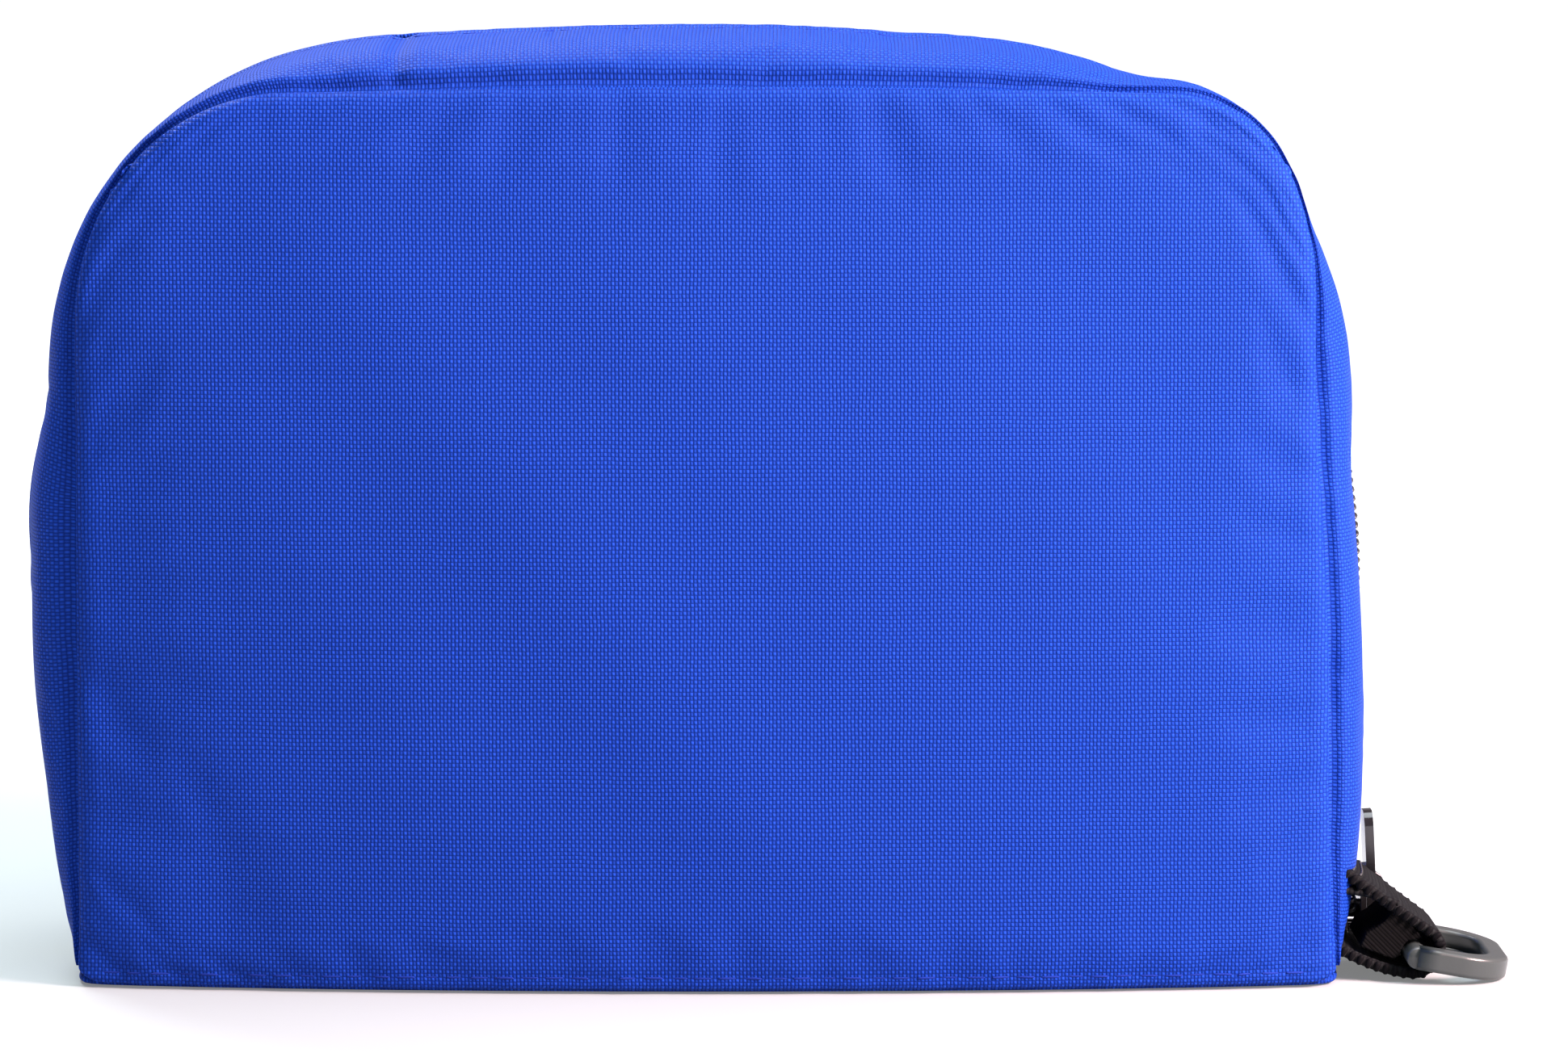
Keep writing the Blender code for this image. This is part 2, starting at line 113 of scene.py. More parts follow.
def whole_outline(left, right, foot_z, top, crown):
    """The outline from the left foot over the top to the right foot, as arrays of x and z."""
    lx, lz = half_outline(foot_z, top, crown, **left)
    rx, rz = half_outline(foot_z, top, crown, **right)
    return np.concatenate([-lx, rx[-2::-1]]), np.concatenate([lz, rz[-2::-1]])


SEAM = whole_outline(SEAM_LEFT, SEAM_RIGHT, WALL_FOOT, SEAM_TOP - SEAM_INSET, SEAM_CROWN)


def along(outline, s):
    """Points (x, z) of an outline at shares s of the way round, from lower left to lower right."""
    at = np.linspace(0, 1, len(outline[0]))
    return np.stack([np.interp(s, at, outline[0]), np.interp(s, at, outline[1])], -1)


def run_length(line):
    """How far along a line of points each one is."""
    return np.concatenate([[0], np.cumsum(np.linalg.norm(np.diff(line, axis=0), axis=1))])


def even_shares(outline, low, high, t):
    """Shares between low and high whose points lie at shares t of that stretch's length."""
    s = np.linspace(low, high, 500)
    length = run_length(along(outline, s))
    return np.interp(np.asarray(t) * length[-1], length, s)


def matched(outline):
    """An outline's points nearest to each of the seam's, and nowhere less than LEAST_RISE outside it."""
    seam = np.stack(SEAM, -1)
    fine = along(outline, np.linspace(0, 1, 6000))
    ahead = np.gradient(seam, axis=0)
    ahead /= np.linalg.norm(ahead, axis=1, keepdims=True)
    out = np.stack([-ahead[:, 1], ahead[:, 0]], -1)
    nearest = np.array([fine[((fine - point) ** 2).sum(1).argmin()] for point in seam])
    rise = ((nearest - seam) * out).sum(1)
    found = nearest + out * np.maximum(0, LEAST_RISE - rise)[:, None]
    found[0], found[-1] = fine[0], fine[-1]
    for _ in range(MATCH_ROUNDS):
        found[1:-1] = (found[:-2] + 2 * found[1:-1] + found[2:]) / 4
    return found[:, 0], found[:, 1]


def ridge_outline(right):
    return matched(whole_outline(RIDGE_LEFT, right, WALL_FOOT, RIDGE_TOP - RIDGE_CROWN, RIDGE_CROWN))


RIDGE = ridge_outline(RIDGE_RIGHT)
TRACK = ridge_outline(TRACK_RIGHT)  # the teeth's own line, which stays straight for the slider


def bulge_share(y):
    """0 at a seam and 1 at the ridge; it leaves the seam at a right angle, as a padded wall does."""
    t = np.clip(np.abs(y) / (SEAM_Y - GROOVE), 0, 1)
    return 0.62 * (1 - t**14) ** 0.5 + 0.38 * (1 - t**1.3)


def onward(outline, s):
    """The way from just before to just after each share of an outline."""
    return along(outline, np.clip(s + 1e-3, 0, 1)) - along(outline, np.clip(s - 1e-3, 0, 1))


def sunk(flat, ahead, y, depth):
    """Points (x, z) on the way ahead, moved inwards by depth and given their y."""
    ahead = ahead / np.linalg.norm(ahead, axis=-1, keepdims=True)
    flat = flat + np.stack([ahead[..., 1], -ahead[..., 0]], -1) * np.asarray(depth)[..., None]
    return np.stack([flat[..., 0], y, flat[..., 1]], -1)


def wall_points(s, y, depth=0.0):
    """The gusset's outer surface, moved inwards by depth. s and y are grids of the same shape."""
    seam, ridge = along(SEAM, s), along(RIDGE, s)
    share = bulge_share(y)[..., None]
    ahead = onward(SEAM, s) * (1 - share) + onward(RIDGE, s) * share
    return sunk(seam + (ridge - seam) * share, ahead, y, depth)


def panel_bulge(x, z, most):
    """How far a panel stands out past its seam."""
    across = np.clip(1 - (x / (SEAM_SIDE + 1 * MM)) ** 2, 0, None)
    t = np.clip(z / SEAM_TOP, 0, 1)
    height = 0.9 + 0.1 * np.sin(math.pi * np.minimum(1, t * 1.4) / 2)
    return most * across**0.8 * height * (1 - t**2.6)


def spread(count):
    """count + 1 shares from 0 to 1, closer together towards both ends."""
    t = np.linspace(0, 1, count + 1)
    return t - CROWDING * np.sin(TAU * t) / TAU


def smooth_step(low, high, value):
    """0 up to low and 1 from high on; with low over high it falls instead."""
    t = np.clip((value - low) / (high - low), 0, 1)
    return t * t * (3 - 2 * t)


def hump(value, middle, width):
    return np.exp(-(((value - middle) / width) ** 2))


# ---- mesh making


def grid_faces(rows, columns, closed=False):
    wrap = columns if closed else columns - 1
    i, j = np.meshgrid(np.arange(rows - 1), np.arange(wrap), indexing="ij")
    k = (j + 1) % columns
    quads = np.stack([i * columns + j, i * columns + k, (i + 1) * columns + k, (i + 1) * columns + j], -1)
    return quads.reshape(-1, 4)


def linked(name, data):
    made = bpy.data.objects.new(name, data)
    bpy.context.scene.collection.objects.link(made)
    return made


def make_mesh(name, points, faces, material, smooth=True, weave=None):
    """A mesh object. weave holds each point's place in the cloth, in metres, for the weave's pattern."""
    mesh = bpy.data.meshes.new(name)
    faces = faces.tolist() if isinstance(faces, np.ndarray) else faces
    mesh.from_pydata(np.asarray(points, float).reshape(-1, 3).tolist(), [], faces)
    if weave is not None:
        layer = mesh.attributes.new("weave", "FLOAT_VECTOR", "POINT")
        flat = np.zeros((len(mesh.vertices), 3), np.float32)
        flat[:, :2] = np.asarray(weave, float).reshape(-1, 2)
        layer.data.foreach_set("vector", flat.ravel())
    mesh.polygons.foreach_set("use_smooth", [smooth] * len(mesh.polygons))
    mesh.materials.append(material)
    return linked(name, mesh)


def face_out(obj):
    """Turns a closed mesh's faces outward."""
    shaped = bmesh.new()
    shaped.from_mesh(obj.data)
    bmesh.ops.recalc_face_normals(shaped, faces=shaped.faces)
    shaped.to_mesh(obj.data)
    shaped.free()
    return obj


def cloth_piece(name, grid, thick, material, weave, outward, levels=1):
    """Cloth of a real thickness from a grid of its outer surface, which on the whole faces outward."""
    rows, columns = grid.shape[:2]
    faces = grid_faces(rows, columns)
    made = make_mesh(name, grid, faces, material, weave=weave)
    facing = sum((face.normal * face.area for face in made.data.polygons), Vector())
    if facing.dot(Vector(outward)) < 0:
        made.data.flip_normals()
    solid = made.modifiers.new("Thickness", "SOLIDIFY")
    solid.thickness = thick
    solid.offset = -1
    solid.thickness_clamp = 0.8
    if levels:
        fine = made.modifiers.new("Smooth", "SUBSURF")
        fine.levels = fine.render_levels = levels
    return made


def tube(name, line, radius, sides, material):
    """A round bar along a line of points."""
    n = len(line)
    ahead = np.gradient(line, axis=0)
    ahead /= np.linalg.norm(ahead, axis=1, keepdims=True)
    side = np.cross(ahead[0], [0.3, 0.5, 0.8])
    side /= np.linalg.norm(side)
    points = []
    angles = np.arange(sides) * TAU / sides
    for k in range(n):
        side = side - ahead[k] * (side @ ahead[k])
        side /= np.linalg.norm(side)
        up = np.cross(ahead[k], side)
        points.append(line[k] + radius * (np.cos(angles)[:, None] * side + np.sin(angles)[:, None] * up))
    faces = grid_faces(n, sides, closed=True).tolist()
    faces += [list(range(sides))[::-1], [(n - 1) * sides + j for j in range(sides)]]
    return face_out(make_mesh(name, np.concatenate(points), faces, material))


BEAD_RINGS, BEAD_SIDES = 5, 6


def bead_points():
    """A unit capsule-like bead along x, as points and faces."""
    points = [[-1, 0, 0]]
    for i in range(1, BEAD_RINGS):
        a = math.pi * i / BEAD_RINGS
        x, r = -math.cos(a), math.sin(a) ** 0.6
        turns = [TAU * j / BEAD_SIDES for j in range(BEAD_SIDES)]
        points += [[x, r * math.cos(turn), r * math.sin(turn)] for turn in turns]
    points.append([1, 0, 0])
    after = [(j + 1) % BEAD_SIDES for j in range(BEAD_SIDES)]
    faces = [[0, 1 + k, 1 + j] for j, k in enumerate(after)]
    faces += (1 + grid_faces(BEAD_RINGS - 1, BEAD_SIDES, closed=True)).tolist()
    last, a = len(points) - 1, 1 + (BEAD_RINGS - 2) * BEAD_SIDES
    faces += [[a + j, a + k, last] for j, k in enumerate(after)]
    return np.array(points, float), faces


def beads(name, centres, directions, normals, half, wide, high, material):
    """Small beads, such as stitches, laid at centres along directions, in one mesh."""
    unit, faces = bead_points()
    points, all_faces = [], []
    for c, d, n in zip(centres, directions, normals):
        d = d / np.linalg.norm(d)
        n = n - d * (n @ d)
        n = n / np.linalg.norm(n)
        side = np.cross(n, d)
        start = len(points) * len(unit)
        points.append(c + unit[:, :1] * half * d + unit[:, 1:2] * wide * side + unit[:, 2:3] * high * n)
        all_faces += [[start + v for v in face] for face in faces]
    return face_out(make_mesh(name, np.concatenate(points), all_faces, material))


def points_at(line, at):
    """The points of a line that are as far along it as at says."""
    length = run_length(line)
    return np.stack([np.interp(at, length, line[:, k]) for k in range(line.shape[1])], -1)


def resample(line, pitch):
    """Points every pitch along a line, with the line's direction at each."""
    length = run_length(line)
    at = np.arange(pitch / 2, length[-1], pitch)
    further, nearer = points_at(line, at + pitch / 8), points_at(line, at - pitch / 8)
    return points_at(line, at), further - nearer


STITCH = 4 * MM
STITCH_FILL = 0.78  # how much of its pitch a stitch covers
STITCH_WIDE = 0.42 * MM


def stitch_row(name, body, slot, line, normals_at, pitch, material):
    """Thread lying on cloth along a line, one bead for each stitch."""
    points, directions = resample(line, pitch)
    half, wide, high = pitch * STITCH_FILL / 2, STITCH_WIDE / 2, STITCH_WIDE * 0.42
    finish_piece(beads(name, points, directions, normals_at(points), half, wide, high, material), body, slot)


def grid_normals(grid):
    n = np.cross(*np.gradient(grid, axis=(0, 1)))
    return n / np.linalg.norm(n, axis=-1, keepdims=True)


def nearest_normals(grid, outward):
    """A function that gives a grid surface's normal at the grid point nearest to each point asked for."""
    normals = grid_normals(grid).reshape(-1, 3)
    flat = grid.reshape(-1, 3)
    if normals[len(normals) // 2] @ np.array(outward, float) < 0:
        normals = -normals

    def at(points):
        return np.array([normals[np.argmin(((flat - p) ** 2).sum(1))] for p in points])

    return at


# ---- cloth simulation


CLOTH_FRAMES = 22
PANEL_PRESSURE, GUSSET_PRESSURE = 2.2, 1.6
PANEL_CAP, GUSSET_CAP = 1.0 * MM, 0.5 * MM  # the most that any point may move
CLOTH_SETTINGS = dict(
    quality=6,
    mass=0.15,
    tension_stiffness=18,
    compression_stiffness=18,
    shear_stiffness=8,
    bending_stiffness=0.35,
    tension_damping=12,
    compression_damping=12,
    shear_damping=8,
    air_damping=4,
    use_pressure=True,
    shrink_min=-0.004,  # the cloth grows by this share, so it can bulge and wrinkle
    vertex_group_mass="held",
)


def relax(grid, pressure, cap):
    """Lets a cloth grid settle under a little pressure, held at its edges and moved by cap at most."""
    rows, columns = grid.shape[:2]
    mesh = bpy.data.meshes.new("settling")
    mesh.from_pydata(grid.reshape(-1, 3).tolist(), [], grid_faces(rows, columns).tolist())
    obj = linked("settling", mesh)
    free = np.zeros((rows, columns), bool)
    free[1:-1, 1:-1] = True
    group = obj.vertex_groups.new(name="held")
    for index in np.flatnonzero(~free):
        group.add([int(index)], 1.0, "REPLACE")
    cloth = obj.modifiers.new("Cloth", "CLOTH")
    for setting, value in CLOTH_SETTINGS.items():
        setattr(cloth.settings, setting, value)
    cloth.settings.uniform_pressure_force = pressure
    cloth.settings.effector_weights.gravity = 0
    cloth.collision_settings.use_collision = False
    cloth.point_cache.frame_start = 1
    cloth.point_cache.frame_end = CLOTH_FRAMES
    scene = bpy.context.scene
    for step in range(1, CLOTH_FRAMES + 1):
        scene.frame_set(step)
    evaluated = obj.evaluated_get(bpy.context.evaluated_depsgraph_get())
    settled = np.zeros(len(mesh.vertices) * 3, np.float32)
    evaluated.data.vertices.foreach_get("co", settled)
    scene.frame_set(1)
    bpy.data.objects.remove(obj)
    moved = settled.reshape(grid.shape) - grid
    length = np.linalg.norm(moved, axis=-1, keepdims=True)
    return grid + moved * np.minimum(1, cap / np.maximum(length, 1e-9))


# ---- materials


def new_material(name, colour, roughness, metallic=0.0, specular=0.5, sheen=0.0, coat=0.0):
    material = bpy.data.materials.new(name)
    material.use_nodes = True
    shader = material.node_tree.nodes["Principled BSDF"]
    values = {"Base Color": (*colour, 1), "Roughness": roughness, "Metallic": metallic}
    values |= {"Specular IOR Level": specular, "Sheen Weight": sheen, "Sheen Roughness": 0.45}
    values |= {"Coat Weight": coat, "Coat Roughness": 0.15}
    for socket, value in values.items():
        shader.inputs[socket].default_value = value
    return material, material.node_tree, shader


def feed(tree, socket, value):
    if isinstance(value, bpy.types.NodeSocket):
        tree.links.new(value, socket)
    else:
        socket.default_value = value


def calc(tree, operation, *values, clamp=False):
    made = tree.nodes.new("ShaderNodeMath")
    made.operation = operation
    made.use_clamp = clamp
    for socket, value in zip(made.inputs, values):
        feed(tree, socket, value)
    return made.outputs[0]


def vector_calc(tree, operation, *values):
    made = tree.nodes.new("ShaderNodeVectorMath")
    made.operation = operation
    for socket, value in zip(made.inputs, values):
        feed(tree, socket, value)
    return made.outputs[0]


def noise(tree, vector, scale, detail=2.0):
    made = tree.nodes.new("ShaderNodeTexNoise")
    made.inputs["Scale"].default_value = scale
    made.inputs["Detail"].default_value = detail
    feed(tree, made.inputs["Vector"], vector)
    return made


def mix_colour(tree, share, first, second, blend="MIX"):
    made = tree.nodes.new("ShaderNodeMix")
    made.data_type = "RGBA"
    made.blend_type = blend
    feed(tree, made.inputs["Factor"], share)
    feed(tree, made.inputs["A"], first if isinstance(first, bpy.types.NodeSocket) else (*first, 1))
    feed(tree, made.inputs["B"], second if isinstance(second, bpy.types.NodeSocket) else (*second, 1))
    return made.outputs["Result"]


def bump(tree, shader, height, distance):
    made = tree.nodes.new("ShaderNodeBump")
    made.inputs["Distance"].default_value = distance
    feed(tree, made.inputs["Height"], height)
    tree.links.new(made.outputs["Normal"], shader.inputs["Normal"])


def place_in_cloth(tree):
    made = tree.nodes.new("ShaderNodeAttribute")
    made.attribute_name = "weave"
    return made.outputs["Vector"]


def plain_weave(tree, pitch_u, pitch_v, wander):
    """A plain weave's height, 0 in its gaps and 1 on its crowns, and the wandering place in the cloth."""
    place = place_in_cloth(tree)
    drift = vector_calc(tree, "SUBTRACT", noise(tree, place, 140).outputs["Color"], (0.5, 0.5, 0.5))
    drift = vector_calc(tree, "MULTIPLY", drift, (wander * pitch_u, wander * pitch_v, 0))
    place = vector_calc(tree, "ADD", place, drift)
    turns = vector_calc(tree, "MULTIPLY", place, (math.pi / pitch_u, math.pi / pitch_v, 0))
    parts = tree.nodes.new("ShaderNodeSeparateXYZ")
    tree.links.new(turns, parts.inputs[0])
    wave_u = calc(tree, "SINE", parts.outputs[0])
    wave_v = calc(tree, "SINE", parts.outputs[1])
    over = calc(tree, "GREATER_THAN", calc(tree, "MULTIPLY", wave_u, wave_v), 0.0)
    a, b = calc(tree, "ABSOLUTE", wave_u), calc(tree, "ABSOLUTE", wave_v)
    warp = calc(tree, "MULTIPLY", calc(tree, "POWER", a, 0.8), calc(tree, "POWER", b, 0.7))
    weft = calc(tree, "MULTIPLY", calc(tree, "POWER", a, 1.5), calc(tree, "POWER", b, 0.6))
    weft = calc(tree, "MULTIPLY", weft, 0.55)
    lifted = calc(tree, "MULTIPLY", calc(tree, "SUBTRACT", warp, weft), over)
    return calc(tree, "ADD", weft, lifted), place


MOTTLE = 0.10  # how much lighter and darker single yarns are


def woven(name, pitches, crown, gap, roughness, relief, sheen=0.15, wander=0.35):
    """Cloth of a plain weave: its yarns' crowns and gaps, the gaps coloured darker as painted shade, uneven
    yarns and soft light and dark patches.

    pitches holds the yarns' two spacings in millimetres, gap the gaps' darker colour, which is painted shade,
    and relief the bump's height.
    """
    pitch_u, pitch_v = [pitch * MM for pitch in pitches]
    material, tree, shader = new_material(name, crown, roughness, specular=0.05, sheen=sheen)
    shader.inputs["Sheen Tint"].default_value = (*[min(1, c * 1.6 + 0.25) for c in crown], 1)
    height, place = plain_weave(tree, pitch_u, pitch_v, wander)
    # Painted shade: the low gaps between the yarns take the darker gap colour, the crowns the crown colour.
    colour = mix_colour(tree, height, gap, crown)
    across = vector_calc(tree, "MULTIPLY", place, (0.5 / pitch_u, 9.0, 0))
    up = vector_calc(tree, "MULTIPLY", place, (9.0, 0.5 / pitch_v, 0))
    uneven = [noise(tree, vector, 1.0, 1).outputs["Fac"] for vector in (across, up)]
    yarns = calc(tree, "ADD", *uneven)
    patches = noise(tree, place, 22, 3).outputs["Fac"]
    shade = calc(tree, "MULTIPLY_ADD", yarns, MOTTLE, 1 - MOTTLE)
    shade = calc(tree, "MULTIPLY", shade, calc(tree, "MULTIPLY_ADD", patches, 0.16, 0.92))
    grey = tree.nodes.new("ShaderNodeCombineColor")
    for socket in grey.inputs:
        tree.links.new(shade, socket)
    colour = mix_colour(tree, 1.0, colour, grey.outputs[0], "MULTIPLY")
    tree.links.new(colour, shader.inputs["Base Color"])
    bump(tree, shader, height, relief * MM)
    return material


TONE = 0.15  # how much lighter and darker moulded and coated pieces are in places


def grained(name, colour, roughness, metallic, grain, relief, coat=0.0, rough_spread=0.1):
    """Moulded plastic or coated metal: a fine grain, uneven gloss and slightly uneven colour."""
    material, tree, shader = new_material(name, colour, roughness, metallic, coat=coat)
    place = tree.nodes.new("ShaderNodeTexCoord").outputs["Object"]
    fine = noise(tree, place, grain, 3).outputs["Fac"]
    wide = noise(tree, place, grain / 14, 2).outputs["Fac"]
    level = calc(tree, "MULTIPLY_ADD", wide, rough_spread * 2, roughness - rough_spread, clamp=True)
    tree.links.new(level, shader.inputs["Roughness"])
    darker = [c * (1 - TONE) for c in colour]
    lighter = [min(1, c * (1 + TONE)) for c in colour]
    tree.links.new(mix_colour(tree, wide, darker, lighter), shader.inputs["Base Color"])
    bump(tree, shader, fine, relief * MM)
    return material


def foam_material(name):
    material, tree, shader = new_material(name, (0.32, 0.33, 0.35), 0.95, specular=0.2)
    place = tree.nodes.new("ShaderNodeTexCoord").outputs["Object"]
    cells = tree.nodes.new("ShaderNodeTexVoronoi")
    cells.inputs["Scale"].default_value = 1600
    tree.links.new(place, cells.inputs["Vector"])
    depth = cells.outputs["Distance"]
    # Painted shade: each cell is coloured darker in its pit and lighter at its rim.
    colour = mix_colour(tree, depth, (0.22, 0.23, 0.25), (0.42, 0.43, 0.45))
    tree.links.new(colour, shader.inputs["Base Color"])
    bump(tree, shader, depth, 0.15 * MM)
    return material


# Each cloth's second colour is its gaps' colour, darker than the crowns as painted shade between the yarns.
CLOTH = woven("blue_cloth", (0.595, 0.645), (0.014, 0.072, 0.55), (0.003, 0.018, 0.17), 0.55, 0.13, 0.0, 0.6)
THREAD = woven("blue_thread", (0.5, 0.3), (0.030, 0.080, 0.46), (0.010, 0.030, 0.25), 0.55, 0.05)
LINING = woven("lining_cloth", (0.42, 0.42), (0.030, 0.040, 0.090), (0.006, 0.008, 0.022), 0.6, 0.06)
BINDING = woven("binding_tape", (0.9, 0.6), (0.020, 0.022, 0.030), (0.004, 0.005, 0.008), 0.7, 0.12)
TAPE_CLOTH = woven("tape_cloth", (0.6, 0.45), (0.022, 0.024, 0.030), (0.004, 0.004, 0.006), 0.7, 0.1)
WEB_YARNS = (0.75, 0.6)
WEBBING = woven("webbing_cloth", WEB_YARNS, (0.012, 0.014, 0.015), (0.003, 0.003, 0.004), 0.65, 0.1, 0.05)
# A darker, matte copy of the webbing: painted shade for the dark hollow between the webbing's runs.
WEB_SHADED = woven("webbing_painted_shade", WEB_YARNS, (0.006, 0.006, 0.007), (0.002, 0.002, 0.002), 0.8, 0.1, 0.0)
FOAM = foam_material("foam_sheet")
COIL = grained("coil_nylon", (0.030, 0.031, 0.034), 0.38, 0.0, 900, 0.01)
BOARD = grained("board_plastic", (0.10, 0.10, 0.11), 0.6, 0.0, 700, 0.05)
METAL = grained("black_metal", (0.045, 0.045, 0.050), 0.20, 0.85, 500, 0.006, coat=0.5, rough_spread=0.05)
RING = grained("ring_plastic", (0.040, 0.050, 0.050), 0.30, 0.0, 900, 0.02, rough_spread=0.06)


# ---- soft pieces of the case

PANEL_FOOT = 0.5 * MM
CROWDING = 0.62  # how much closer a panel's rows stand at its edges
SEAM_DROP = 1.5 * MM  # how deep the cloth turns in at a seam
SEAM_ROLL = 3.6 * MM  # over this width
CORNER_ROUND = 4.5 * MM
CORNER_MIDDLE = SIDE_SHARE + CORNER_SHARE / 2
SIDES = {"front": -1, "back": 1}
FRONT_BULGE = PANEL_FRONT - SEAM_Y - SEAM_INSET
BACK_BULGE = PANEL_BACK - SEAM_Y - SEAM_INSET
FOLD_X = -50 * MM  # a sharp fold across the top of the gusset


def panel_plan(columns, rows, inset=0.0):
    """A panel's grid in its own plane, (x, z), bounded by the seam and the bottom edge."""
    a, b = spread(columns), spread(rows)
    left = along(SEAM, even_shares(SEAM, 0, CORNER_MIDDLE, b))
    right = along(SEAM, even_shares(SEAM, 1, 1 - CORNER_MIDDLE, b))
    top = along(SEAM, even_shares(SEAM, CORNER_MIDDLE, 1 - CORNER_MIDDLE, a))
    x = left[0, 0] + (right[0, 0] - left[0, 0]) * a
    from_end = np.minimum(x - x[0], x[-1] - x)
    rise = (WALL_FOOT - PANEL_FOOT) * np.clip(1 - from_end / CORNER_ROUND, 0, 1) ** 2
    bottom = np.stack([x, PANEL_FOOT + rise], -1)
    a, b = a[None, :, None], b[:, None, None]
    sides = (1 - b) * bottom[None] + b * top[None] + (1 - a) * left[:, None] + a * right[:, None]
    ends = (1 - a) * (1 - b) * bottom[0] + a * (1 - b) * bottom[-1] + (1 - a) * b * top[0] + a * b * top[-1]
    plan = sides - ends
    middle = np.array([0, 0.066])
    reach = np.abs(plan - middle).max(axis=(0, 1))
    return middle + (plan - middle) * (1 - inset / reach)


def panel_surface(plan, side, most, depth):
    """A panel's surface in space; side is -1 in front and 1 behind, and depth goes inwards."""
    out = SEAM_Y + SEAM_INSET + panel_bulge(plan[..., 0], plan[..., 1], most) - depth
    return np.stack([plan[..., 0], side * out, plan[..., 1]], -1)


def edge_distance(plan):
    """Each grid point's distance from the panel's outline, and how far round the outline that is."""
    seam = along(SEAM, even_shares(SEAM, 0, 1, np.linspace(0, 1, 600)))
    xs = np.linspace(seam[-1, 0], seam[0, 0], 300)
    edge = np.concatenate([seam, np.stack([xs, np.full(300, PANEL_FOOT)], -1)])
    length = run_length(edge)
    gap = np.linalg.norm(plan.reshape(-1, 1, 2) - edge, axis=-1)
    nearest = gap.argmin(1)
    return gap.min(1).reshape(plan.shape[:2]), length[nearest].reshape(plan.shape[:2])


def ripples(length, waves, amount):
    """Uneven waves along a seam."""
    total = np.zeros_like(length)
    for wave in waves:
        phase, drift = RNG.uniform(0, TAU), RNG.uniform(0.6, 1.4)
        slow = 1.3 * np.sin(TAU * length / (wave * 5.3 * drift))
        total += np.sin(TAU * length / wave + phase + slow)
    return amount * total / len(waves)


def crease(plan, start, end, width, depth):
    """A soft valley in a panel from start to end, (x, z) in millimetres."""
    a, b = np.array(start) * MM, np.array(end) * MM
    share = np.clip(((plan - a) @ (b - a)) / ((b - a) @ (b - a)), 0, 1)
    gap = np.linalg.norm(plan - (a + share[..., None] * (b - a)), axis=-1)
    fade = np.sin(math.pi * np.clip(share, 0.04, 0.96)) ** 0.5
    return depth * MM * fade * hump(gap, 0, width * MM)


FRONT_CREASES = (
    ((-101, 51), (-88, 35), 4.5, 0.75),
    ((-85, 39), (-79, 25), 4.0, 0.45),
    ((-80, 27), (-74, 4), 7.0, 0.55),
    ((97, 99), (86, 95), 1.6, 0.40),
    ((97, 96), (89, 91), 1.4, 0.30),
    ((-60, 140), (-90, 118), 9.0, 0.5),
    ((70, 141), (90, 122), 8.0, 0.4),
    ((20, 60), (55, 20), 16.0, 0.35),
)
BACK_CREASES = (
    ((-40, 110), (10, 60), 18.0, 0.5),
    ((95, 60), (80, 30), 5.0, 0.6),
    ((-98, 90), (-84, 70), 5.0, 0.5),
)
HEM_Z = 2.75 * MM  # the row of stitches along the foot of each panel


def finish_piece(piece, body, slot, *nodes):
    """Says which body carries a piece and hides the frame's nodes that it stands for; slot is not used."""
    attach(piece, body)
    if nodes:
        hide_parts(*nodes)
    return piece


def make_panel(name, most, creases):
    """A panel's outer cloth. Returns how far it stands from its plain bulge."""
    side = SIDES[name]
    plan = panel_plan(120, 80)
    plain = panel_surface(plan, side, most, 0.0)
    grid = relax(plain, -side * PANEL_PRESSURE, PANEL_CAP)
    distance, length = edge_distance(plan)
    slow = ripples(plan[..., 0] + 0.7 * plan[..., 1], (46 * MM, 71 * MM), 0.22 * MM)
    slow *= smooth_step(6 * MM, 30 * MM, distance)
    grid[..., 1] += side * (slow - sum(crease(plan, *one) for one in creases))
    soft = side * (grid[..., 1] - plain[..., 1])
    turned = 0.6 * SEAM_DROP * np.clip(1 - distance / SEAM_ROLL, 0, 1) ** 2.2
    turned += 0.8 * MM * np.clip(1 - distance / (1.3 * MM), 0, 1) ** 1.5
    turned *= 0.3 + 0.7 * smooth_step(2 * MM, 8 * MM, plan[..., 1])
    puckers = ripples(length, (7.5 * MM, 11 * MM, 19 * MM), 0.22 * MM) * np.exp(-distance / (6 * MM))
    hem = 0.22 * MM * hump(plan[..., 1], HEM_Z, 0.6 * MM)
    grid[..., 1] -= side * (turned + puckers + hem)
    piece = cloth_piece(name + "_panel_cloth", grid, PANEL_CLOTH, CLOTH, plan, (0, side, 0))
    finish_piece(piece, name + "_half", "cloth", name + "_panel")
    row = grid[np.abs(plan[:, 60, 1] - HEM_Z).argmin()]
    row = row[np.abs(row[:, 0]) < SEAM_SIDE - 3 * MM]
    up = nearest_normals(grid, (0, side, 0))
    stitch_row(name + "_hem_stitches", name + "_half", "cloth", row, up, STITCH, THREAD)
    return soft


def make_panel_layers(name, most, soft):
    """Foam and lining behind a panel, which follow its cloth."""
    side = SIDES[name]
    for part, inset, depth, thick, material, slot in (
        ("foam", 3.4, 1.3, 3.0, FOAM, "foam"),
        ("lining", 3.8, 4.6, 0.6, LINING, "lining"),
    ):
        plan = panel_plan(60, 40, inset * MM)
        grid = panel_surface(plan, side, most, depth * MM)
        grid[..., 1] += side * soft[::2, ::2]
        piece = cloth_piece(f"{name}_panel_{part}", grid, thick * MM, material, plan, (0, side, 0))
        finish_piece(piece, name + "_half", slot, f"{name}_{part}")


GUSSET_ROWS = 341
GUSSET_ARCS = (0, 0.5, 1.1, 1.8, 2.7, 3.8, 5.2, 7, 9, 12, 16, 20, 24, 26.6, 28.2, 28.9, 29.5, 30.6, 31.2)


def gusset_profile():
    """The gusset's steps from its seam to the zipper: depths y (positive) and distances along the cloth."""
    y = np.linspace(SEAM_Y, ZIP_EDGE_Y, 800)
    length = run_length(np.stack([y, bulge_share(y) * 7.5 * MM], -1))
    arcs = np.array(GUSSET_ARCS) / GUSSET_ARCS[-1] * length[-1]
    return np.interp(arcs, length, y), arcs


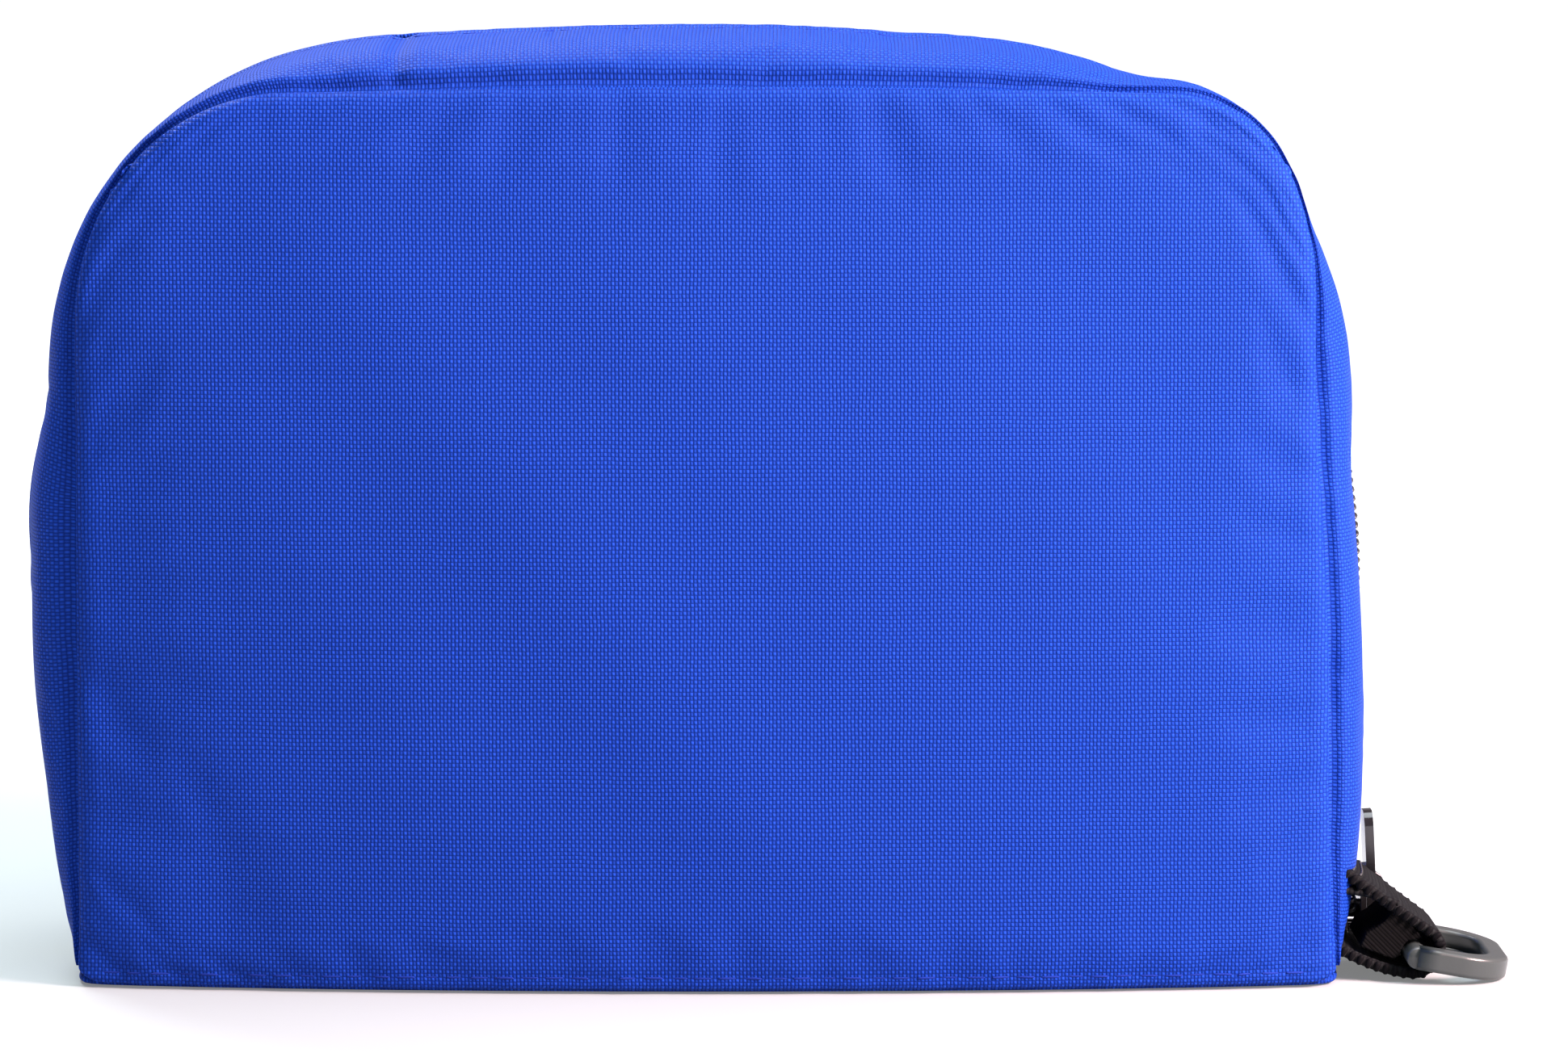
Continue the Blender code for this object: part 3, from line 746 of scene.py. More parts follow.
def gusset_relief(name, grid, arcs, s_grid, y_grid):
    """How far the gusset's cloth stands out from its settled shape: its lip, swell, puckers and folds."""
    from_seam = arcs + 0 * s_grid
    from_zip = arcs[-1] - from_seam
    around = run_length(grid[:, 9])[:, None] + 0 * y_grid
    corner = sum(hump(s_grid, at, 0.07) for at in (CORNER_MIDDLE, 1 - CORNER_MIDDLE))
    top = smooth_step(0.30, 0.42, s_grid) * smooth_step(0.72, 0.60, s_grid)
    swell = (0.35 + 0.6 * top) * MM * hump(from_seam, 2.9 * MM, 1.9 * MM)
    puckers = ripples(around, (6.5 * MM, 10 * MM, 17 * MM), 0.30 * MM)
    near_zip = 0.25 * corner * np.exp(-from_zip / (7 * MM))
    puckers *= np.exp(-from_seam / (7 * MM)) * (0.5 + 0.5 * corner) + near_zip
    puckers *= smooth_step(0.4 * MM, 2 * MM, from_seam)
    sewn = 0.30 * MM * hump(from_zip, 2.4 * MM, 0.5 * MM)
    lip = 0.30 * MM * smooth_step(2.9 * MM, 1.9 * MM, from_zip) - sewn
    slow = ripples(around + 0.4 * y_grid, (38 * MM, 61 * MM), 0.25 * MM)
    slow *= smooth_step(2 * MM, 9 * MM, from_seam) * smooth_step(1 * MM, 8 * MM, from_zip)
    if name == "front":
        fold = hump(grid[..., 0], FOLD_X, 1.4 * MM) * (grid[..., 2] > 0.12)
        slow = slow - 0.9 * MM * fold * smooth_step(0.5 * MM, 4 * MM, from_seam)
    return lip + swell - puckers + slow, np.stack([around, -from_seam], -1)


def make_gusset(name):
    """One half of the gusset, from its panel's seam to the zipper. Returns its grid."""
    side = SIDES[name]
    ys, arcs = gusset_profile()
    shares = even_shares(RIDGE, 0, 1, np.linspace(0, 1, GUSSET_ROWS))
    s_grid, y_grid = np.meshgrid(shares, side * ys, indexing="ij")
    plain = wall_points(s_grid, y_grid, SEAM_DROP * hump(arcs, 0, 1.1 * MM) + 0 * s_grid)
    normals = grid_normals(plain)
    turn = 1 if normals[GUSSET_ROWS // 2, 10, 2] > 0 else -1
    grid = relax(plain, -turn * GUSSET_PRESSURE, GUSSET_CAP)
    relief, weave = gusset_relief(name, grid, arcs, s_grid, y_grid)
    grid = grid + normals * turn * relief[..., None]
    grid[..., 1] -= side * 1.4 * MM * hump(arcs, 2.0 * MM, 0.8 * MM)
    piece = cloth_piece(name + "_gusset_cloth", grid, GUSSET_CLOTH, CLOTH, weave, (0, 0, 1))
    finish_piece(piece, name + "_half", "cloth", name + "_gusset")
    up = nearest_normals(grid, (0, 0, 1))
    stitch_row(name + "_zipper_stitches", name + "_half", "cloth", grid[2:-2, 14], up, STITCH, THREAD)
    return grid


def gusset_layer(name, part, grid, ys, depth, thick, material, slot):
    """A strip inside the gusset that follows its cloth, with its feet above the bottom's lining."""
    side = SIDES[name]
    cloth = grid[grid[:, 10, 2] > 6.4 * MM]
    order = np.argsort(cloth[0, :, 1])
    layer = np.zeros((len(cloth), len(ys), 3))
    for row, made in zip(cloth[:, order], layer):
        for k in range(3):
            made[:, k] = np.interp(side * np.array(ys) * MM, row[:, 1], row[:, k])
    normals = grid_normals(layer)
    normals *= np.sign(normals[len(cloth) // 2, 1, 2])
    layer = layer - normals * depth * MM
    weave = np.stack([run_length(layer[:, 1])[:, None] + 0 * layer[..., 1], layer[..., 1]], -1)
    piece = cloth_piece(f"{name}_{part}_strip", layer, thick * MM, material, weave, (0, 0, 1))
    return finish_piece(piece, name + "_half", slot, f"{name}_{part}")


# ---- bottom and hinge


def shrunk(loop, inset):
    return loop * (1 - inset / np.abs(loop).max(0))


def floor_edge(xs, side, bulge):
    """The bottom's front or back edge, just outside the panel's seam."""
    return np.stack([xs, side * (SEAM_Y + 0.1 * MM + panel_bulge(xs, 0 * xs, bulge))], -1)


def floor_loop(inset=0.0):
    """The outline of the case's foot, anticlockwise from above, as (x, y)."""
    ys = np.linspace(-1, 1, 41) * (SEAM_Y - 0.4 * MM)
    right, left = [wall_points(np.full(41, s), ys)[:, 0] for s in (1.0, 0.0)]
    xs = np.linspace(left[0] + 1 * MM, right[0] - 1 * MM, 90)
    front, back = floor_edge(xs, -1, FRONT_BULGE), floor_edge(xs, 1, BACK_BULGE)
    right, left = np.stack([right - 0.4 * MM, ys], -1), np.stack([left + 0.4 * MM, ys], -1)
    loop = np.concatenate([front, right, back[::-1], left[::-1]])
    for _ in range(3):
        loop = (np.roll(loop, 1, 0) + 2 * loop + np.roll(loop, -1, 0)) / 4
    return shrunk(loop, inset)


SLAB_RINGS = 14
BOARD_INSET = 7.6 * MM


def layered_slab(name, loop, profile, material):
    """A flat piece over an outline. profile holds (inset, z) pairs in millimetres, from below to above."""
    shares = np.linspace(0, 1, SLAB_RINGS, endpoint=False)[1:]
    edge = [(shrunk(loop, inset * MM), z * MM) for inset, z in profile]
    (first, foot), (last, top) = edge[0], edge[-1]
    rings = [(first * share, foot) for share in shares] + edge
    rings += [(last * share, top) for share in shares[::-1]]
    points = [np.column_stack([flat, np.full(len(flat), z)]) for flat, z in rings]
    points = np.concatenate(points + [np.array([[0, 0, foot], [0, 0, top]])])
    faces = grid_faces(len(rings), len(loop), closed=True).tolist()
    count = len(rings) * len(loop)
    outermost = count - len(loop)
    for j in range(len(loop)):
        k = (j + 1) % len(loop)
        faces += [[count, k, j], [outermost + j, outermost + k, count + 1]]
    return face_out(make_mesh(name, points, faces, material, weave=points[:, :2]))


def make_bottom():
    welt = ((1.2, 0), (0.35, 0.12), (0.05, 0.4), (0, 0.7), (0.15, 1.0), (0.6, 1.15), (3, 1.2), (4.5, 1.9))
    cloth = layered_slab("bottom_cloth", floor_loop(), welt, CLOTH)
    finish_piece(cloth, "back_half", "cloth", "bottom_panel")
    board_edge = ((0.5, 2.3), (0.12, 2.42), (0, 2.7), (0, 4.4), (0.12, 4.68), (0.5, 4.8))
    board = layered_slab("bottom_board_sheet", floor_loop(BOARD_INSET), board_edge, BOARD)
    finish_piece(board, "back_half", "board", "bottom_board")
    lining_edge = ((0.3, 5.1), (0.06, 5.2), (0, 5.4), (0.06, 5.6), (0.3, 5.7))
    lining = layered_slab("bottom_lining_cloth", floor_loop(BOARD_INSET), lining_edge, LINING)
    finish_piece(lining, "back_half", "lining", "bottom_lining")


def make_hinge_fold():
    """The cloth inside the bottom seam that joins the front panel to the bottom; a fixed strip curved between
    them.
    """
    xs = np.linspace(-97, 97, 90) * MM
    profile = np.array([(2.6, 2.35), (1.4, 2.4), (0.6, 2.7), (0.15, 3.3), (0, 4.2), (0, 5.6), (0, 7.4)]) * MM
    edge = -SEAM_Y - 0.05 * MM - panel_bulge(xs, 0 * xs, FRONT_BULGE)
    grid = np.zeros((len(xs), len(profile), 3))
    grid[..., 0] = xs[:, None]
    grid[..., 1] = edge[:, None] + profile[None, :, 0] + 0.35 * MM
    grid[..., 2] = profile[None, :, 1]
    weave = np.stack([grid[..., 0], np.tile(run_length(profile), (len(xs), 1))], -1)
    fold = cloth_piece("hinge_fold", grid, 0.5 * MM, CLOTH, weave, (0, 0.3, 1), levels=0)
    fold.modifiers["Thickness"].offset = 0
    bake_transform(fold)


# ---- zipper


def track_points(s, y, depth):
    """Points over the teeth's own line: s round the case, y across it, depth below the ridge."""
    return sunk(along(TRACK, s), onward(TRACK, s), y, depth)


def shares_above(foot, count):
    """Even shares of the teeth's line where it is higher than foot."""
    s = np.linspace(0, 0.2, 400)
    z = along(TRACK, s)[:, 1]
    low = s[np.argmax(z > foot)]
    z = along(TRACK, 1 - s)[:, 1]
    high = 1 - s[np.argmax(z > foot)]
    return even_shares(TRACK, low, high, np.linspace(0, 1, count))


TAPE_STEPS = (0.12, 0.9, 2.0, 3.0, 4.2, 5.6, 7.2, 8.9, 10.5, 11.6, 12.05)  # from the teeth's middle outwards


def make_tape(name):
    """One side's zipper tape, from the teeth to below the gusset."""
    ys = SIDES[name] * (np.array(TAPE_STEPS) * MM)
    s, y = np.meshgrid(shares_above(3.2 * MM, 300), ys, indexing="ij")
    sink = (1 - bulge_share(y)) * 9 * MM * smooth_step(4 * MM, 6 * MM, np.abs(y))
    grid = track_points(s, y, TAPE_DEPTH + sink)
    under = wall_points(s, y, GUSSET_CLOTH + 0.3 * MM)  # below the cloth, which is narrower at its feet
    share = smooth_step(30 * MM, 18 * MM, grid[..., 2]) * smooth_step(3.0 * MM, 4.7 * MM, np.abs(y))
    grid = grid + (under - grid) * share[..., None]
    weave = np.stack([run_length(grid[:, 3])[:, None] + 0 * y, y], -1)
    tape = cloth_piece(name + "_zipper_tape_cloth", grid, TAPE, TAPE_CLOTH, weave, (0, 0, 1), levels=0)
    finish_piece(tape, name + "_half", "zipper_tape", name + "_zipper_tape")


COIL_PITCH = 1.5 * MM
COIL_WIRE = 0.30 * MM  # its radius


def make_coil(name):
    """One side's teeth: a wire wound in a flattened spiral along the tape's edge."""
    side = SIDES[name]
    shares = shares_above(5.4 * MM, 2000)
    length = run_length(track_points(shares, 0 * shares, 0 * shares))
    turns = int(length[-1] / COIL_PITCH)
    at = np.linspace(0, turns, turns * 12)
    phase = TAU * at + (0 if side > 0 else math.pi)
    s = np.interp(at * COIL_PITCH, length, shares)
    across = np.sign(np.cos(phase)) * np.abs(np.cos(phase)) ** 0.7
    y = side * (1.3 * MM + across * 1.12 * MM)
    depth = 1.55 * MM + 0.44 * MM * np.sin(phase)
    coil = tube(name + "_coil_wire", track_points(s, y, depth), COIL_WIRE, 5, COIL)
    finish_piece(coil, name + "_half", "zipper_coil", name + "_zipper_coil")
    rows = np.interp(np.linspace(0, 1, 700) * length[-1], length, shares)
    seam = track_points(rows, side * (2.75 * MM + 0 * rows), 2.5 * MM + 0 * rows)
    stitch_row(name + "_coil_stitches", name + "_half", "zipper_tape", seam, track_up, 3 * MM, COIL)


def track_up(points):
    """The outward direction of the case's wall at points of the teeth's line."""
    x = points[:, 0] * np.where(points[:, 2] > 0.13, 0.35, 1)
    out = np.stack([x, 0 * x, np.maximum(0, points[:, 2] - 0.09) * 2.2], -1)
    return out / np.linalg.norm(out, axis=1, keepdims=True)


def bevelled(obj, width):
    """Rounds an object's sharp edges, with flat faces kept flat to look at."""
    soft = obj.modifiers.new("Rounded", "BEVEL")
    soft.width = width
    soft.segments = 3
    soft.limit_method = "ANGLE"
    soft.angle_limit = math.radians(35)
    soft.harden_normals = False
    level = obj.modifiers.new("Flat", "WEIGHTED_NORMAL")
    level.keep_sharp = False
    return obj


def prism(outline, place, low, high):
    """Points and faces of an outline carried from low to high. place turns (a, b, d) into a point."""
    n = len(outline)
    points = [place(a, b, d) for d in (low, high) for a, b in outline]
    faces = [list(range(n))[::-1], list(range(n, 2 * n))]
    faces += [[i, (i + 1) % n, n + (i + 1) % n, n + i] for i in range(n)]
    return points, faces


def assembled(name, parts, material, bevel):
    """One object out of several prisms, all rounded at their edges."""
    points, faces = [], []
    for some_points, some_faces in parts:
        faces += [[len(points) + v for v in face] for face in some_faces]
        points += list(some_points)
    return bevelled(face_out(make_mesh(name, np.array(points), faces, material)), bevel)


def arc(cx, cy, radius, start, end, steps):
    angles = np.radians(np.linspace(start, end, steps))
    return [(cx + radius * math.cos(a), cy + radius * math.sin(a)) for a in angles]


def make_stops():
    """The clamps at both ends of the teeth: one on each tape at the right foot, one on both at the left."""
    for name, side in (("front_zipper_stop", -1), ("back_zipper_stop", 1), ("zipper_end_stop", 0)):
        low, high = [np.array(corner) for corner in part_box(name)]
        middle, half = (low + high) / 2, (high - low) / 2 + np.array([0.1, 0.15, 0.05]) * MM
        if side == 0:
            line = along(TRACK, np.linspace(0, 0.2, 200))
            middle[0] = np.interp(middle[2], line[:, 1], line[:, 0]) + TAPE_DEPTH - 0.3 * MM
        wide, high = half[1], half[2]
        shape = [(-wide, -high), (wide, -high), (wide, high * 0.5)]
        shape += [(wide * 0.5, high), (-wide * 0.5, high), (-wide, high * 0.5)]

        def place(y, z, x, middle=middle):
            return (middle[0] + x, middle[1] + y, middle[2] + z)

        groove = prism([(a * 1.12, b * 0.3) for a, b in shape], place, -half[0] * 0.9, half[0] * 1.15)
        piece = assembled(name + "_clamp", [prism(shape, place, -half[0], half[0]), groove], METAL, 0.16 * MM)
        finish_piece(piece, "front_half" if side < 0 else "back_half", "zipper_metal", name)


# ---- slider and pull

SLIDER_Z = 9.8 * MM
SLIDER_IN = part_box("slider_body")[0].x  # the inner face of the inner plate
PLATE = 1.1 * MM
PLATE_GAP = 3.1 * MM  # between the two plates, where the tape and teeth run
SLIDER_OUT = SLIDER_IN + 2 * PLATE + PLATE_GAP


def slider_shape(half, low, high):
    """The slider's outline from outside: a rounded shield, wider at its foot."""
    right = arc(half - 1.5, low + 1.5, 1.5, -90, 0, 6)
    right += [(half, low + 4.2), (half * 0.97, low + 5.2), (half * 0.86, low + 6.6)]
    right += arc(half * 0.72 - 1.1, high - 1.1, 1.1, 10, 90, 5)
    return [(y * MM, z * MM) for y, z in right] + [(-y * MM, z * MM) for y, z in right[::-1]]


def make_slider():
    """Two plates, a raised shield on the outer one, the post between them and the pull's bridge."""
    half, low, high = 3.9, -4.8, 4.8

    def place(y, z, x):
        return (x, y, SLIDER_Z + z)

    def stand(x, z, y):
        return (SLIDER_OUT + x * MM, y, SLIDER_Z + z * MM)

    shape = slider_shape(half, low, high)
    raised = slider_shape(half - 1.2, low + 1.2, high - 1.2)
    parts = [prism(shape, place, SLIDER_OUT - PLATE, SLIDER_OUT)]
    parts += [prism(shape, place, SLIDER_IN, SLIDER_IN + PLATE)]
    parts += [prism(raised, place, SLIDER_OUT - 0.1 * MM, SLIDER_OUT + 0.25 * MM)]
    post = [(-0.35, -4.2), (0.35, -4.2), (0.35, -1.6), (0, -1.0), (-0.35, -1.6)]
    post = [(y * MM, z * MM) for y, z in post]
    parts += [prism(post, place, SLIDER_IN + 0.5 * MM, SLIDER_OUT - 0.5 * MM)]
    outer = [(-0.3, -3.6), (1.2, -3.75), (2.4, -3.45), (3.1, -2.7), (3.4, -1.5), (3.4, 0.6), (3.2, 1.9)]
    outer += [(2.6, 3.0), (1.5, 3.7), (-0.3, 4.0)]
    inner = [(-0.3, 2.9), (1.2, 2.75), (1.9, 2.2), (2.35, 1.3), (2.5, 0.5), (2.5, -1.4)]
    inner += [(2.3, -2.2), (1.6, -2.7), (-0.3, -2.7)]
    bridge = prism(outer + inner, stand, -1.2 * MM, 1.2 * MM)
    slider = assembled("zipper_slider", parts + [bridge], METAL, 0.22 * MM)
    finish_piece(slider, "slider", "zipper_metal", "slider_body")


def make_pull():
    """A flat tab with a hole round the bridge; it points up and leans a little towards the case."""
    pivot = Vector((SLIDER_OUT + 1.4 * MM, 0, 8.4 * MM))
    lean = math.radians(-3)

    def place(y, s, d):
        x = pivot.x + (s * math.sin(lean) + d * math.cos(lean) - 0.45) * MM
        return (x, y * MM, pivot.z + (s * math.cos(lean) - d * math.sin(lean)) * MM)

    outer = [(-3.1, -0.4)] + arc(-2.4, -0.1, 0.7, 200, 260, 4) + arc(2.4, -0.1, 0.7, -80, -20, 4)
    outer += [(3.1, 0.6), (3.1, 5.6), (3.3, 6.4)] + arc(0.7, 12.9, 2.6, 0, 90, 9)
    outer += arc(-0.7, 12.9, 2.6, 90, 180, 9) + [(-3.3, 6.4), (-3.1, 5.6), (-3.1, 0.6)]
    hole = [(-1.75, 0.75), (1.75, 0.75)] + arc(0.95, 5.0, 0.8, 0, 90, 5) + arc(-0.95, 5.0, 0.8, 90, 180, 5)
    tab = ring_plate("pull_tab_piece", outer, hole, place, 0.75, METAL)
    bevelled(tab, 0.3 * MM)
    finish_piece(tab, "pull", "zipper_metal", "pull_tab")


def ring_plate(name, outer, hole, place, half, material):
    """A flat plate with one hole, from two outlines."""
    shaped = bmesh.new()
    loops = []
    for outline in (outer, hole):
        made = [shaped.verts.new(place(a, b, -half)) for a, b in outline]
        loops += [shaped.edges.new((made[i], made[(i + 1) % len(made)])) for i in range(len(made))]
    bmesh.ops.triangle_fill(shaped, edges=loops, use_beauty=True, use_dissolve=False)
    top = bmesh.ops.extrude_face_region(shaped, geom=shaped.faces[:])
    shift = Vector(place(0, 0, half)) - Vector(place(0, 0, -half))
    moved = [v for v in top["geom"] if isinstance(v, bmesh.types.BMVert)]
    bmesh.ops.translate(shaped, verts=moved, vec=shift)
    bmesh.ops.recalc_face_normals(shaped, faces=shaped.faces)
    flat = [edge for edge in shaped.edges if edge.is_manifold and edge.calc_face_angle(1) < 1e-3]
    bmesh.ops.dissolve_edges(shaped, edges=flat, use_verts=False)
    mesh = bpy.data.meshes.new(name)
    shaped.to_mesh(mesh)
    shaped.free()
    mesh.polygons.foreach_set("use_smooth", [True] * len(mesh.polygons))
    mesh.materials.append(material)
    return linked(name, mesh)


# ---- webbing and D-ring

WEB_FROM, WEB_TO = [corner.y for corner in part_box("webbing_loop")]
WEB_MIDDLE = (WEB_FROM + WEB_TO) / 2
RIB_PITCH = 1.5 * MM
WEB_THICK = 1.8 * MM
WEB_ROLL = math.tan(math.radians(-2))
BAR = np.array([114.6, 4.3]) * MM  # the ring's straight bar, (x, z)
RING_MIDDLE = -18 * MM
RING_TURN = math.radians(-10)
RING_HALF, RING_REACH, RING_THICK, RING_BREAK = 13.5, 15.6, 3.7, 0.75  # millimetres


def wall_x(y, z):
    """The gusset's outer surface on the right side at a height."""
    s = np.linspace(1, 0.8, 300)
    wall = wall_points(s, np.full(300, y))
    return np.interp(z, wall[:, 2], wall[:, 0])


def loop_line(y):
    """The webbing's middle line at a depth y: from the gusset, round the bar and back along the floor."""
    roll = (y - WEB_MIDDLE) * WEB_ROLL
    start_z = 17.6 * MM + roll
    end_z = 5.2 * MM + roll * 0.3
    start = (wall_x(y, start_z) - 1.0 * MM, start_z)
    end = (wall_x(y, end_z) - 0.6 * MM, end_z)
    turn = np.radians(np.linspace(46, -90, 15))
    radius = (3.2 + 1.3 * smooth_step(-0.9, 0.7, turn)) * MM
    bend = BAR + radius[:, None] * np.stack([np.cos(turn), np.sin(turn)], -1)
    t = np.linspace(0, 1, 8, endpoint=False)[:, None]
    sag = np.array([0.35, -0.35]) * MM * np.sin(math.pi * t)
    upper = np.array(start) + (bend[0] - np.array(start)) * t + sag
    t = np.linspace(0, 1, 9)[1:]
    lower_x = bend[-1][0] + (end[0] - bend[-1][0]) * t
    lower_z = bend[-1][1] + (end[1] - bend[-1][1]) * t**1.7
    return np.concatenate([upper, bend, np.stack([lower_x, lower_z], -1)])


def strip_line(y):
    """The inner strip's middle line at a depth y, from the gusset to above the bar."""
    roll = (y - WEB_MIDDLE) * WEB_ROLL
    start_z = 14.4 * MM + roll
    start = np.array([wall_x(y, start_z) - 0.6 * MM, start_z])
    end = BAR + np.array([-2.9, 8.3]) * MM
    t = np.linspace(0, 1, 12)[:, None]
    return start + (end - start) * t + np.array([0, 0.4 * MM]) * np.sin(math.pi * t)


def strap_grid(line_at, per_pitch):
    """The middle surface of a strap: rows along it, columns across it."""
    ys = np.linspace(WEB_FROM, WEB_TO, 61)
    lines = []
    for y in ys:
        line = line_at(y)
        length = run_length(line)
        count = int(length[-1] / RIB_PITCH * per_pitch) if not lines else len(lines[0])
        lines.append(points_at(line, np.linspace(0, length[-1], count)))
    flat = np.stack(lines, 1)
    return np.stack([flat[..., 0], ys + 0 * flat[..., 0], flat[..., 1]], -1)


def strap_height(ys, along_line, thick):
    """Half the strap's thickness: cross ribs, the warp's cords and thin edges."""
    across = np.abs(ys - WEB_MIDDLE) / ((WEB_TO - WEB_FROM) / 2)
    ribs = np.abs(np.sin(math.pi * along_line / RIB_PITCH)) * 0.06 * MM
    cords = np.sin(TAU * ys / (2.3 * MM)) * 0.03 * MM
    rounding = (thick * 0.5 - 0.25 * MM) * np.clip((across - 0.93) / 0.07, 0, 1) ** 2
    return thick / 2 - 0.12 * MM + ribs + cords - rounding


def selvedge(name, line, outward, thick):
    """The weft's loops along one edge of a strap."""
    centres, directions = resample(line, RIB_PITCH)
    across_edge = np.cross(directions, [0, 1, 0])
    normals = np.tile([0, 1.0, 0], (len(centres), 1))
    centres = centres + np.array([0, 0.1 * MM * outward, 0])
    loops = beads(name, centres, across_edge, normals, thick * 0.52, 0.55 * MM, 0.4 * MM, WEBBING)
    finish_piece(loops, "front_half", "webbing")


def strap(name, node, line_at, thick, per_pitch):
    """Webbing with its cross ribs. Returns its middle surface and that surface's normals."""
    grid = strap_grid(line_at, per_pitch)
    normals = grid_normals(grid)
    normals *= np.sign(normals[2, 30, 0])
    along_line = run_length(grid[:, 30])[:, None] + 0 * grid[..., 1]
    high = strap_height(grid[..., 1], along_line, thick)
    outer, inner = grid + normals * high[..., None], grid - normals * high[..., None]
    rows, columns = grid.shape[:2]
    index = np.arange(rows * columns).reshape(rows, columns)
    rim = [*index[0], *index[1:, -1], *index[-1, -2::-1], *index[-2:0:-1, 0]]
    size = rows * columns
    faces = grid_faces(rows, columns)
    rim_faces = [[a, b, b + size, a + size] for a, b in zip(rim, rim[1:] + rim[:1])]
    faces = faces.tolist() + (faces[:, ::-1] + size).tolist() + rim_faces
    points = np.concatenate([outer.reshape(-1, 3), inner.reshape(-1, 3)])
    weave = np.stack([along_line, grid[..., 1]], -1).reshape(-1, 2)
    piece = face_out(make_mesh(name, points, faces, WEBBING, weave=np.concatenate([weave, weave])))
    finish_piece(piece, "front_half", "webbing", node)
    return grid, normals


TACK_ROWS = (5, 13)  # the strap's rows that are sewn to the gusset


def make_webbing():
    grid, normals = strap("webbing_strap", "webbing_loop", loop_line, WEB_THICK, 8)
    selvedge("webbing_strap_near_selvedge", grid[:, 0], -1, WEB_THICK)
    selvedge("webbing_strap_far_selvedge", grid[:, -1], 1, WEB_THICK)
    for number, row in enumerate(TACK_ROWS):
        line = grid[row, 2:-2] + normals[row, 2:-2] * (WEB_THICK / 2 + 0.05 * MM)

        def up(points, lift=normals[row, 30]):
            return np.tile(lift, (len(points), 1))

        stitch_row(f"webbing_tack_{number}", "front_half", "webbing", line, up, 2.6 * MM, COIL)
    strap("inner_strap", "tab_inner_strip", strip_line, 1.3 * MM, 6)
    make_fold_and_shade()


def make_fold_and_shade():
    """The webbing's ends, folded over each other and sewn between its two runs, in a darker copy of the
    webbing: partly the real ends, partly painted shade that fills the hollow between the runs.
    """
    outline = [(-9.0, 1.2), (-8.0, 3.4), (-6.2, 4.4), (-4.8, 5.6), (-3.6, 7.4), (-2.6, 7.2), (-0.2, 4.4)]
    outline += [(1.2, 2.6), (-1.2, 2.2), (-2.3, 0.9), (-2.5, -0.3), (-3.6, -0.9)]
    outline = [(BAR[0] + a * MM, BAR[1] + b * MM) for a, b in outline]
    low, high = WEB_FROM + 0.5 * MM, WEB_TO - 0.5 * MM
    points, faces = prism(outline, lambda x, z, y: (x, y, z), low, high)
    weave = [(point[0] + point[2], point[1]) for point in points]
    fold = bevelled(face_out(make_mesh("webbing_fold_and_shade", points, faces, WEB_SHADED, weave=weave)), 0.3 * MM)
    finish_piece(fold, "front_half", "webbing")


def ring_path(half, near, far, radius):
    """A D in its own plane, (x, y), from one end of its bow to the other, in millimetres."""
    midway = near + (far - radius - near) / 2
    points = [(near, -half), (midway, -half)]
    points += arc(far - radius, -half + radius, radius, -90, 0, 12)
    points += arc(far - radius, half - radius, radius, 0, 90, 12)
    return np.array(points + [(midway, half), (near, half)])


def ring_point(x, y, d):
    """A point of the ring: x away from its bar, y along the bar and d across its plane, in millimetres."""
    px = BAR[0] + (x * math.cos(RING_TURN) - d * math.sin(RING_TURN)) * MM
    pz = BAR[1] + (x * math.sin(RING_TURN) + d * math.cos(RING_TURN)) * MM
    return (px, RING_MIDDLE + y * MM, pz)


def bow_profile():
    """The bow's cross-section: a square with broken edges, as (across, d) in millimetres."""
    low, high, edge = RING_BREAK, RING_THICK - RING_BREAK, RING_THICK / 2 - RING_BREAK
    profile = []
    for turn, (cx, cy) in enumerate(((high, edge), (low, edge), (low, -edge), (high, -edge))):
        profile += arc(cx, cy, RING_BREAK, turn * 90, turn * 90 + 90, 6)
    return profile + [(RING_THICK * 0.5, -RING_THICK / 2)]


def lofted(name, points, rows, columns):
    """A closed bar of the ring from rings of points, with flat ends."""
    faces = grid_faces(rows, columns, closed=True).tolist()
    faces += [list(range(columns)), [(rows - 1) * columns + j for j in range(columns)]]
    return face_out(make_mesh(name, points, faces, RING))


def make_ring():
    """The bow is a flat bar with broken edges; the straight bar is round and turns in the webbing."""
    outer = ring_path(RING_HALF, 0, RING_REACH, 8.5)
    inner = ring_path(RING_HALF - RING_THICK, 0, RING_REACH - RING_THICK, 5.0)
    profile = bow_profile()
    points = []
    for o, i in zip(outer, inner):
        points += [ring_point(*(o + (i - o) * across / RING_THICK), d) for across, d in profile]
    bow = lofted("ring_bow", points, len(outer), len(profile))
    soft = bow.modifiers.new("Flat", "WEIGHTED_NORMAL")
    soft.keep_sharp = False
    finish_piece(bow, "ring", "ring", "d_ring")
    ends = [(y, RING_THICK / 2 - 0.5 * max(0, abs(y) - 12.2) ** 2) for y in np.linspace(-13.0, 13.0, 40)]
    angles = np.arange(28) * TAU / 28
    points = [ring_point(r * math.cos(a), y, r * math.sin(a)) for y, r in ends for a in angles]
    finish_piece(lofted("ring_bar", points, len(ends), len(angles)), "ring", "ring")


# ---- making

for half_name, most, creases in (("front", FRONT_BULGE, FRONT_CREASES), ("back", BACK_BULGE, BACK_CREASES)):
    softness = make_panel(half_name, most, creases)
    make_panel_layers(half_name, most, softness)
    gusset = make_gusset(half_name)
    gusset_layer(half_name, "gusset_lining", gusset, (25, 21, 17, 12.9), 2.3, 0.6, LINING, "lining")
    gusset_layer(half_name, "seam_binding", gusset, (25, 22.7, 20.3, 18), 3.2, 0.7, BINDING, "binding")
    make_tape(half_name)
    make_coil(half_name)
make_bottom()
make_hinge_fold()
make_stops()
make_slider()
make_pull()
make_webbing()
make_ring()


# ---- floor, light and camera

CAMERA_PLACE = (0.012, -0.881, 0.165)
CAMERA_DOWN = 6.09  # degrees below the horizon
CAMERA_LENS = 122.4
FLOOR_REACH = 40
FLOOR_Z = -0.0002



